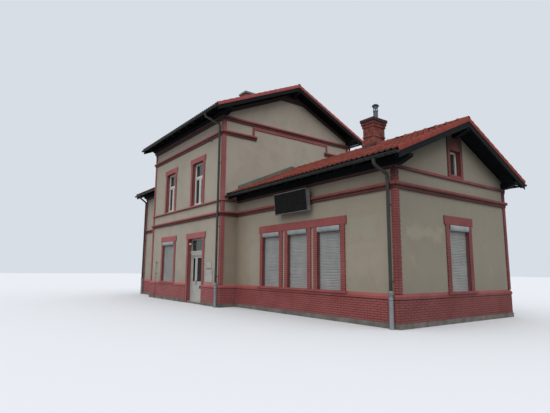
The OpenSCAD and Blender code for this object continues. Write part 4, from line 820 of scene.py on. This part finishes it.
# Tiles
TILE_W, TILE_L, TILE_T, STEP, ROLL, VERGE_W = 0.21, 0.345, 0.018, 0.030, 0.052, 0.08
PROFILE = [(0.0, 0.0), (0.07, 0.45), (0.17, 1.0), (0.27, 0.45), (0.34, 0.0), (0.62, -0.12), (0.90, 0.0)]
VERGE_SECTION = [(0.0, -0.150), (0.020, -0.150), (0.020, -0.020), (0.115, -0.030), (0.115, 0.006),
                 (0.085, 0.024), (0.045, 0.032), (0.014, 0.026), (0.0, 0.008)]
RIDGE_R, RIDGE_L = 0.125, 0.42


def courses(roof):
    """How far the tiles reach from the ridge, the number of their courses and each one's depth on plan."""
    reach = roof.reach + TILE_OUT
    n = round(reach / math.cos(PITCH) / TILE_L)
    return reach, n, reach / n


def strip(shape, rows, side):
    """Closes four rows of points into a strip with end caps, facing outwards on either slope."""
    if side > 0:
        rows = rows[::-1]
    c, s = len(rows[0]), len(shape.verts)
    shape.grid(rows, closed_rows=True)
    shape.faces.append(tuple(s + i * c for i in range(4)))
    shape.faces.append(tuple(s + i * c + c - 1 for i in reversed(range(4))))


def tile_courses(shape, roof, side):
    """Overlapping courses of rolled interlocking tiles on one slope, each course one closed strip."""
    x0, x1 = roof.inset(VERGE_W)
    reach, n, ds = courses(roof)
    count = int((x1 - x0) / TILE_W)
    w = (x1 - x0) / count
    for c in range(n):
        front = reach - c * ds
        b = max(front - ds - 0.045, 0.015)
        rows = [[], [], [], []]
        for k in range(count + 1):
            dz, dy = rng.uniform(-0.003, 0.001), rng.uniform(-0.005, 0.0)
            f = front + dy
            for t, hgt in PROFILE if k < count else PROFILE[:1]:
                x = x0 + (k + t) * w
                up = (hgt - 0.5) * ROLL + dz
                zf, zb = roof.tiles(f) + up, roof.tiles(b) + up - STEP
                for row, y, z in zip(rows, (f, f, b, b), (zf - TILE_T - 0.006, zf, zb, zb - TILE_T)):
                    row.append((x, side * y, z))
        strip(shape, rows, side)


def verge_tiles(shape, x, inward, roof, side):
    """The special tiles of a verge: a flange outside, a roll on top."""
    reach, n, ds = courses(roof)
    for c in range(n):
        front = reach - c * ds
        back = max(front - ds - 0.03, 0.004)
        rows = []
        for y, lift, inset in ((front, 0.0, 0.0), (back, -0.022, 0.003)):
            rows.append([(x + inward * (px + (inset if px < 0.01 else 0.0)), side * y,
                          roof.tiles(y) + pz + (lift if pz > -0.01 else 0.0)) for px, pz in VERGE_SECTION])
        if c == 0:
            # The lowest tile's flange stops at the eaves
            for k in (0, 1):
                rows[0][k] = (rows[0][k][0], side * (roof.reach - 0.004), roof.tiles(roof.reach) - 0.148)
        shape.tube(rows[::-1] if inward * side > 0 else rows)


def ridge(shape, roof, x0, x1, skip=(99, 99)):
    """Lapped half-round ridge tiles, each with a thick lip at its covering end; a chimney is skipped."""
    r, crown = RIDGE_R, roof.tiles(0) + RIDGE_RISE - RIDGE_R
    n = max(1, round((x1 - x0) / RIDGE_L))
    w = (x1 - x0) / n
    for k in range(n):
        a, b = x0 + k * w, min(x0 + (k + 1) * w + 0.03, x1)
        if b > skip[0] and a < skip[1]:
            if a < skip[0]:
                b = skip[0]
            elif b > skip[1]:
                a = skip[1]
            else:
                continue
        rows = []
        for x, outer in ((a, r), (a + 0.055, r), (a + 0.06, r - 0.016), (b, r - 0.022)):
            rows.append([(x, radius * math.sin(t), crown + radius * math.cos(t))
                         for radius, end in ((outer, 1.32), (r - 0.030, -1.32))
                         for t in np.linspace(-end, end, 15)])
        shape.tube(rows[::-1])


def slope_bar(shape, roof, side, x0, x1, y0, y1, z0, z1):
    """A bar that follows the slope from y0 (nearer the ridge) to y1, at two heights over the soffit."""
    a, b = (y0, y1) if side > 0 else (y1, y0)
    shape.tube([[(x, side * y, roof.soffit(y) + z) for x, y in ((x0, a), (x1, a), (x1, b), (x0, b))]
                for z in (z0, z1)])


for key, roof in ROOFS.items():
    tiles = Shape()
    for side in (-1, 1):
        tile_courses(tiles, roof, side)
    mat = clay("clay_" + key, (0.300, 0.062, 0.040), 0.12, 0.38, roof=roof)
    tiles.make(key + "_tiles", mat, "roof_tile", replaces=("roof_tiles",), smooth=35)

for key, roof in ROOFS.items():
    verges = Shape()
    for side in (-1, 1):
        if roof.free_r:
            verge_tiles(verges, roof.x1, -1, roof, side)
        if roof.free_l:
            verge_tiles(verges, roof.x0, 1, roof, side)
    verges.make(key + "_verge_tiles", mat_verge if roof is MAIN else mat_wing_verge, "roof_tile",
                replaces=("roof_tiles",), smooth=40)

vents = Shape()
for x in (7.08, 8.38, 9.71):
    for side in (-1, 1):
        top = DECK_H + TILE_H
        slope_bar(vents, NEAR, side, x - 0.09, x + 0.09, 0.16, 0.36, top - 0.02, top + 0.055)
vents.make("ridge_vents", mat_vent_and_end_shade, "roof_tile", bevel=0.02)

ridges = Shape()
m = MSTACK_W / 2 + 0.012
ridge(ridges, MAIN, MAIN.x0, MAIN.x1, (MSTACK_X - m, MSTACK_X + m))
m = STACK_L / 2 + CORBEL_OUT + 0.012
ridge(ridges, NEAR, NEAR.x0 + 0.16, NEAR.x1, (STACK_X - m, STACK_X + m))
ridge(ridges, FAR, FAR.x0, FAR.x1 - 0.16)
ridges.make("ridge_rolls", mat_ridge, "roof_tile", replaces=("ridge_tiles",), smooth=35)

# Plates painted dark, as the shade inside the open ends of the ridges
end_shade_plates = Shape()
for roof, x, inward in ((MAIN, MAIN.x1, -1), (MAIN, MAIN.x0, 1), (NEAR, NEAR.x1, -1), (FAR, FAR.x0, 1)):
    crown = roof.tiles(0) + RIDGE_RISE - RIDGE_R
    end_shade_plates.tube([[(px, 0.092 * math.sin(t), crown + 0.092 * math.cos(t)) for t in circle(20)]
                for px in sorted((x + inward * 0.004, x + inward * 0.030), reverse=True)])
end_shade_plates.make("ridge_end_shade_plates", mat_vent_and_end_shade, "roof_tile", smooth=40)

# Roof timbers: purlins whose free ends are cut away below, and rafters, boarding and battens
PURLIN_TIP, RAFTER_W, RAFTER_H, BATTEN_H = 0.38, 0.10, 0.172, 0.035
RAFTER_STEP, BOARD_W = 0.82, 0.14
purlins, rafters, boarding, battens = (Shape() for _ in range(4))


def purlin(roof, y, low, high, rise):
    """One purlin at y over low; high holds the points of its upper side, and free ends rise below."""
    x0, x1 = roof.inset(GABLE_OUT - DECK_END)
    stations = [(x0, rise), (x0 + PURLIN_TIP, 0.0)] if roof.free_l else [(x0, 0.0)]
    stations += [(x1 - PURLIN_TIP, 0.0), (x1, rise)] if roof.free_r else [(x1, 0.0)]
    rows = [[(x, y + dy, z - 0.001) for dy, z in high[::-1]] +
            [(x, y + dy, low + up) for dy in (-PURLIN_W / 2, PURLIN_W / 2)] for x, up in stations]
    purlins.tube(rows[::-1])


for roof in ROOFS.values():
    w, eaves_y = PURLIN_W / 2, roof.half + PURLIN_OUT - PURLIN_W / 2
    eaves_top = [(-w, roof.top + PURLIN_H), (w, roof.top + PURLIN_H)]
    shoulder = roof.soffit(w)
    purlin(roof, -eaves_y, roof.top, eaves_top, 0.15)
    purlin(roof, 0.0, shoulder - PURLIN_H, [(-w, shoulder), (0.0, roof.soffit(0)), (w, shoulder)], 0.16)
    purlin(roof, eaves_y, roof.top, eaves_top, 0.15)
purlins.make("purlin_beams", mat_dark_and_shade, "roof_timber", replaces=("purlins",))

for roof in ROOFS.values():
    a, b = roof.inset(0.05)
    n = round((b - a - RAFTER_W) / RAFTER_STEP)
    rows = int(roof.reach / BOARD_W)
    full, count, ds = courses(roof)
    for side in (-1, 1):
        for k in range(n + 1):
            x = a + (b - a - RAFTER_W) * k / n
            slope_bar(rafters, roof, side, x, x + RAFTER_W, 0.002, roof.reach - 0.07, 0.0, RAFTER_H)
        for r in range(rows):
            y0, y1 = 0.002 + r * roof.reach / rows, (r + 1) * roof.reach / rows - 0.004
            slope_bar(boarding, roof, side, a, b, y0, y1, RAFTER_H + 0.002, DECK_H - 0.002)
        for c in range(count):
            y = full - c * ds - 0.06
            if y < roof.reach:
                low = min(y + 0.01, roof.reach)
                slope_bar(battens, roof, side, a, b, y - 0.04, low, DECK_H, DECK_H + BATTEN_H)
rafters.make("rafters", mat_dark_and_shade, "roof_timber", replaces=("roof_decks",))
boarding.make("roof_boarding", mat_dark_and_shade, "roof_timber", replaces=("roof_decks",))
battens.make("tile_battens", mat_dark_and_shade, "roof_timber", replaces=("roof_tiles",))

# Gutters: rolled front edge and brackets
BEAD_R, BRACKET_STEP = 0.009, 0.8
beads, brackets = Shape(), Shape()
for roof in ROOFS.values():
    a, b = roof.inset(0.0, 0.031)
    gy, gz = roof.reach + GUTTER_R, roof.soffit(roof.reach) + DECK_H - 0.030
    n = round((b - a) / BRACKET_STEP)
    for side in (-1, 1):
        beads.tube([[(x, side * (gy + GUTTER_R - BEAD_R) + BEAD_R * math.cos(t), gz + BEAD_R * math.sin(t))
                     for t in circle(10)] for x in (a, b)])
        for k in range(n):
            x = a + (b - a) * (k + 0.5) / n
            rows = [[(x + dx, side * (gy + r * math.cos(t)), gz - r * math.sin(t))
                     for dx, r in ((-0.014, 0.0755), (0.014, 0.0755), (0.014, 0.0785), (-0.014, 0.0785))]
                    for t in np.linspace(0.42, math.pi, 11)]
            brackets.tube(rows if side > 0 else rows[::-1])
beads.make("gutter_beads", mat_gutter, "sheet_metal", smooth=50)
brackets.make("gutter_brackets", mat_dark_and_shade, "sheet_metal", smooth=50)

# Windows
TRANSOM_Z, FRAME_BACK, FRAME_FRONT, SASH_BACK, SASH_FRONT = 6.17, -0.21, -0.13, -0.195, -0.136
frames = Shape()


def frame_ring(shape, face, u0, u1, z0, z1, out0, out1, w):
    """Four bars round a rectangle."""
    for a, b, c, d in ((u0, u1, z0, z0 + w), (u0, u1, z1 - w, z1), (u0, u0 + w, z0 + w, z1 - w),
                       (u1 - w, u1, z0 + w, z1 - w)):
        face.box(shape, a, b, out0, out1, c, d)


def upper_window(face):
    """Outer frame with a transom, a fanlight above it, two casements below and a weather bar."""
    h, t, sill, head = WINDOW_W / 2, TRANSOM_Z, UPPER_SILL_Z, UPPER_HEAD_Z
    frame_ring(frames, face, -h, h, sill, head, FRAME_BACK, FRAME_FRONT, 0.06)
    face.box(frames, -h + 0.06, h - 0.06, FRAME_BACK, -0.118, t - 0.04, t + 0.04)
    face.box(frames, -0.045, 0.045, -0.205, -0.122, sill + 0.06, t - 0.04)
    for a, b in ((-h + 0.062, -0.047), (0.047, h - 0.062)):
        frame_ring(frames, face, a, b, sill + 0.062, t - 0.042, SASH_BACK, SASH_FRONT, 0.05)
    frame_ring(frames, face, -h + 0.062, h - 0.062, t + 0.042, head - 0.062, SASH_BACK, SASH_FRONT, 0.045)
    face.box(frames, -h + 0.02, h - 0.02, FRAME_FRONT, -0.085, sill + 0.002, sill + 0.035)


for x in (X_DOOR, X_BAY):
    upper_window(street(x, Y_MAIN))
    upper_window(rear(x, Y_MAIN))
for face in (NEAR_GABLE, FAR_GABLE):
    for e, back, front in ((0.0, FRAME_BACK, FRAME_FRONT), (0.036, SASH_BACK, -0.126)):
        h, sill, head = ATTIC_W / 2 - e, ATTIC_SILL_Z + e, ATTIC_HEAD_Z - e
        frame_ring(frames, face, -h, h, sill, head, back, front, 0.034)
frames.make("window_joinery", mat_sash_lit, "white_paint", replaces=("window_frames",), bevel=0.005)

# Roller shutters: slats between two rails, and a chamfered box with end plates over them
BOX_H, SLAT_H, RAIL_H, COLUMNS = 0.19, 0.052, 0.05, 13
SLAT_TOP = HEAD_Z - BOX_H
BOX_SECTION = ((-0.140, HEAD_Z - 0.002), (-0.140, SLAT_TOP + 0.004), (-0.050, SLAT_TOP + 0.004),
               (0.018, SLAT_TOP + 0.004), (0.050, SLAT_TOP + 0.040), (0.060, SLAT_TOP + 0.085),
               (0.060, HEAD_Z - 0.030), (0.048, HEAD_Z - 0.012))
END_SECTION = ((-0.140, HEAD_Z), (-0.140, SLAT_TOP), (-0.050, SLAT_TOP), (0.01875, SLAT_TOP),
               (0.050625, SLAT_TOP + 0.038), (0.060, SLAT_TOP + 0.084), (0.060, HEAD_Z - 0.028),
               (0.046875, HEAD_Z - 0.008))
slats, guides, boxes, caps = (Shape() for _ in range(4))


def curtain(face, w):
    """Curved slats that sag and lean a little, each in its own way."""
    n = round((SLAT_TOP - SILL_Z - RAIL_H) / SLAT_H)
    pitch = (SLAT_TOP - SILL_Z - RAIL_H) / n
    front = []
    for k in range(n):
        base = SLAT_TOP - k * pitch
        groove = -0.0800 - (0.0025 if rng.random() < 0.4 else 0.0)
        front += [(groove, base), (-0.0715, base - pitch * 0.22), (-0.070, base - pitch * 0.5),
                  (-0.0735, base - pitch * 0.82), (groove, base - pitch * 0.95)]
    front += [(-0.070, SILL_Z + RAIL_H), (-0.068, SILL_Z + 0.004), (-0.084, SILL_Z + 0.004)]
    waves = [rng.uniform(-0.014, 0.006) for _ in range(n)]
    leans = [rng.uniform(-0.007, 0.007) for _ in range(n)]
    rows = []
    for c in range(COLUMNS):
        t = c / (COLUMNS - 1)
        u, sag = -w / 2 + 0.03 + (w - 0.06) * t, math.sin(math.pi * t)
        tilt = 0.004 * math.sin(2 * math.pi * t + n)
        row = [face.at(u, -0.084, SLAT_TOP)]
        for i, (out, z) in enumerate(front):
            k = i // 5
            drop = 0.0
            if 0 < k < n:
                drop = (waves[k] * sag + tilt + leans[k] * sag * (2 * t - 1)) * min(1.0, k / 3)
            row.append(face.at(u, out, z + drop))
        rows.append(row)
    slats.tube(rows)


def shutter(face, w):
    h = w / 2
    curtain(face, w)
    for side in (-1, 1):
        for depth, back, front in ((0.045, -0.097, -0.088), (0.045, -0.064, -0.057), (0.012, -0.088, -0.064)):
            a, b = sorted((side * h, side * (h - depth)))
            face.box(guides, a, b, back, front, SILL_Z, SLAT_TOP)
    end = h - 0.012
    for shape, section, a, b in ((boxes, BOX_SECTION, -end, end), (caps, END_SECTION, -h, -end),
                                 (caps, END_SECTION, end, h)):
        shape.tube([[face.at(u, out, z) for out, z in section] for u in (a, b)])


for make_face in (street, rear):
    shutter(make_face(X_BAY, Y_MAIN), DOOR_W)
    for k in (-1, 0, 1):
        shutter(make_face(X_TRIPLE + k * TRIPLE_PITCH, Y_WING), WINDOW_W)
for face in (NEAR_GABLE, FAR_GABLE):
    shutter(face, WINDOW_W)
slats.make("shutter_slats", mat_shutter, "shutter_grey", replaces=("shutter_curtains",))
guides.make("shutter_rails", mat_guide, "shutter_grey", replaces=("shutter_curtains",), bevel=0.0015)
boxes.make("shutter_boxes", mat_box, "shutter_grey", replaces=("shutter_housings",), smooth=30)
caps.make("shutter_box_ends", mat_guide, "shutter_grey", replaces=("shutter_housings",), bevel=0.002)

# The station sign, which leans forward on four arms, and the notice boards
LEAN = math.radians(6)
SIGN_X, SIGN_Z, SIGN_L, SIGN_H, SIGN_D = X_RIGHT - 4.545, 3.72, 1.93, 0.81, 0.15
SIGN = {"slot": "sign_black", "replaces": ("sign_boards",)}


def sign_box(shape, u0, u1, o0, o1, z0, z1):
    """A box of the leaning sign: u along it, o in front of its back face, z up its face."""
    shape.tube([[(SIGN_X + u, -Y_WING - 0.125 - o * math.cos(LEAN) - z * math.sin(LEAN),
                  SIGN_Z + z * math.cos(LEAN) - o * math.sin(LEAN))
                 for u, o in ((u0, o1), (u1, o1), (u1, o0), (u0, o0))] for z in (z0, z1)])


panel, trim, cheeks, notices, edges = (Shape() for _ in range(5))
h = SIGN_L / 2
sign_box(panel, -h + 0.014, h - 0.014, 0.002, SIGN_D - 0.006, 0.012, SIGN_H - 0.012)
for k in (-1, 1):
    for z in (SIGN_H / 6, SIGN_H * 5 / 6):
        arm = street(SIGN_X + k * SIGN_L / 3, Y_WING)
        arm.box(panel, -0.02, 0.02, 0.0, 0.16 + z * math.sin(LEAN), SIGN_Z + z - 0.02, SIGN_Z + z + 0.02)
for z0, z1 in ((0.0, 0.028), (SIGN_H - 0.028, SIGN_H)):
    sign_box(trim, -h, h, SIGN_D - 0.045, SIGN_D, z0, z1)
for u0, u1, v0, v1 in ((-h, -h + 0.022, -h, -h + 0.012), (h - 0.022, h, h - 0.012, h)):
    sign_box(trim, u0, u1, SIGN_D - 0.030, SIGN_D, 0.028, SIGN_H - 0.028)
    sign_box(cheeks, v0, v1, 0.0, SIGN_D - 0.032, 0.002, SIGN_H - 0.002)
face = street(X_MR - 1.04, Y_MAIN)
for w, z, hgt in ((0.47, 1.68, 0.30), (0.65, 1.03, 0.60)):
    face.box(notices, -w / 2 + 0.012, w / 2 - 0.012, 0.0, 0.018, z + 0.012, z + hgt - 0.012)
    frame_ring(edges, face, -w / 2, w / 2, z, z + hgt, 0.0, 0.025, 0.014)
panel.make("station_sign", mat_sign, bevel=0.003, **SIGN)
cheeks.make("sign_sides", mat_sign_side, bevel=0.002, **SIGN)
trim.make("sign_frame", mat_sign_frame, bevel=0.003, **SIGN)
notices.make("notice_panels", mat_board, **SIGN)
edges.make("notice_frames", mat_board_edge, bevel=0.002, **SIGN)

# Entrance: mouldings of the leaves' panels, the letter plate, two lines of painted shadow on the transom, the
# lamp
front = street(0, Y_MAIN)
for body, a, b in (("narrow_door", -0.579, -0.359), ("wide_door", -0.128, 0.579)):
    x0, x1, mould = X_DOOR + a, X_DOOR + b, Shape()
    for z0, z1 in ((0.311, 0.600), (0.640, 0.930)):
        frame_ring(mould, front, x0, x1, z0, z1, -0.212, -0.200, 0.020)
    front.box(mould, x0, x1, -0.212, -0.203, 0.600, 0.640)
    mould.make(body + "_mouldings", mat_white, "white_paint", body=body, bevel=0.003)
plate, lines, lamp = Shape(), Shape(), Shape()
front.box(plate, X_DOOR + 0.12, X_DOOR + 0.36, -0.206, -0.196, 0.70, 0.84)
plate.make("letter_plate", mat_handle, "white_paint", body="wide_door", bevel=0.003)
# Two dark strips painted as shadow on the transom
for z in (2.335, 2.435):
    street(X_DOOR, Y_MAIN).box(lines, -DOOR_W / 2 + 0.07, DOOR_W / 2 - 0.07, -0.165, -0.158, z, z + 0.014)
lines.make("transom_lines", mat_shadow_line, "white_paint")
lx, ly, lz = X_DOOR - DOOR_W / 2, -Y_MAIN + 0.08, HEAD_Z - 0.24
lamp.tube([[(lx + dx, ly + r * math.cos(t), lz + r * math.sin(t)) for t in circle(24)] for dx, r in (
    (0.0, 0.052), (0.014, 0.056), (0.040, 0.055), (0.058, 0.044), (0.068, 0.022), (0.070, 0.003))])
lamp.make("entrance_lamp", mat_lamp, "lamp_white", replaces=("door_lamp",), smooth=40)

# Stage, light and camera
FLOOR_CORNERS = (-150, -150), (150, -150), (150, 150), (-150, 150)
FLOOR, FLOOR_SEEN = (0.20, 0.195, 0.19), (0.60, 0.61, 0.62)
SKY_LOW, SKY_HIGH, SUN_POWER = 0.24, 1.62, 1.15
SKY_TINT, BACKGROUND = (0.96, 0.99, 1.05), (0.68, 0.73, 0.79)
YAW, TILT, ROLL_ANGLE, FOCAL, IMAGE_W, SENSOR = 0.9378, 0.1492, 0.0080, 424.8, 550, 36
EYE = (18.04, -13.17, 1.6)

# The floor is pale to look at and throws little light up under the eaves, as paving does
mesh = bpy.data.meshes.new("floor")
mesh.from_pydata([(x, y, 0) for x, y in FLOOR_CORNERS], [], [(0, 1, 2, 3)])
g = Look("pale_floor", FLOOR_SEEN, 0.9, spec=0.1)
g.col = g.mix(g.seen(), FLOOR, FLOOR_SEEN)
mesh.materials.append(g.done())
placed("floor", mesh)

# An overcast sky, brighter overhead, behind which the background is plain and pale
world = bpy.data.worlds.new("soft_sky")
bpy.context.scene.world = world
sky = Graph(world, "BACKGROUND")
glow = sky.span(sky.xyz(sky.node("TexCoord", "Generated"))[2], 0.0, 1.0, SKY_LOW, SKY_HIGH)
light = sky.node("VectorMath", 0, {"operation": "SCALE"}, i0=SKY_TINT, Scale=glow)
sky.put(sky.inputs["Color"], sky.mix(sky.seen(), light, BACKGROUND))

sun_data = bpy.data.lights.new("soft_sun", "SUN")
sun_data.energy, sun_data.angle, sun_data.color = SUN_POWER, math.radians(70), (1.0, 0.98, 0.95)
sun = placed("soft_sun", sun_data)
sun.rotation_euler = Vector((-0.50, 0.60, -1.05)).to_track_quat("-Z", "Y").to_euler()

# The camera as it was fitted to the photograph, with its focal length in pixels
ahead = Vector((-math.sin(YAW) * math.cos(TILT), math.cos(YAW) * math.cos(TILT), math.sin(TILT)))
level = Vector((math.cos(YAW), math.sin(YAW), 0))
up = level.cross(ahead)
across, above = (math.cos(a) * level + math.sin(a) * up for a in (ROLL_ANGLE, ROLL_ANGLE + math.pi / 2))
cam_data = bpy.data.cameras.new("camera")
cam_data.sensor_width, cam_data.lens, cam_data.clip_end = SENSOR, FOCAL / IMAGE_W * SENSOR, 500
camera = placed("camera", cam_data)
matrix = Matrix((across, above, -ahead)).transposed().to_4x4()
matrix.translation = Vector(EYE)
camera.matrix_world = matrix
bpy.context.scene.camera = camera
bpy.context.scene.view_settings.view_transform = "Standard"

bpy.context.view_layer.update()
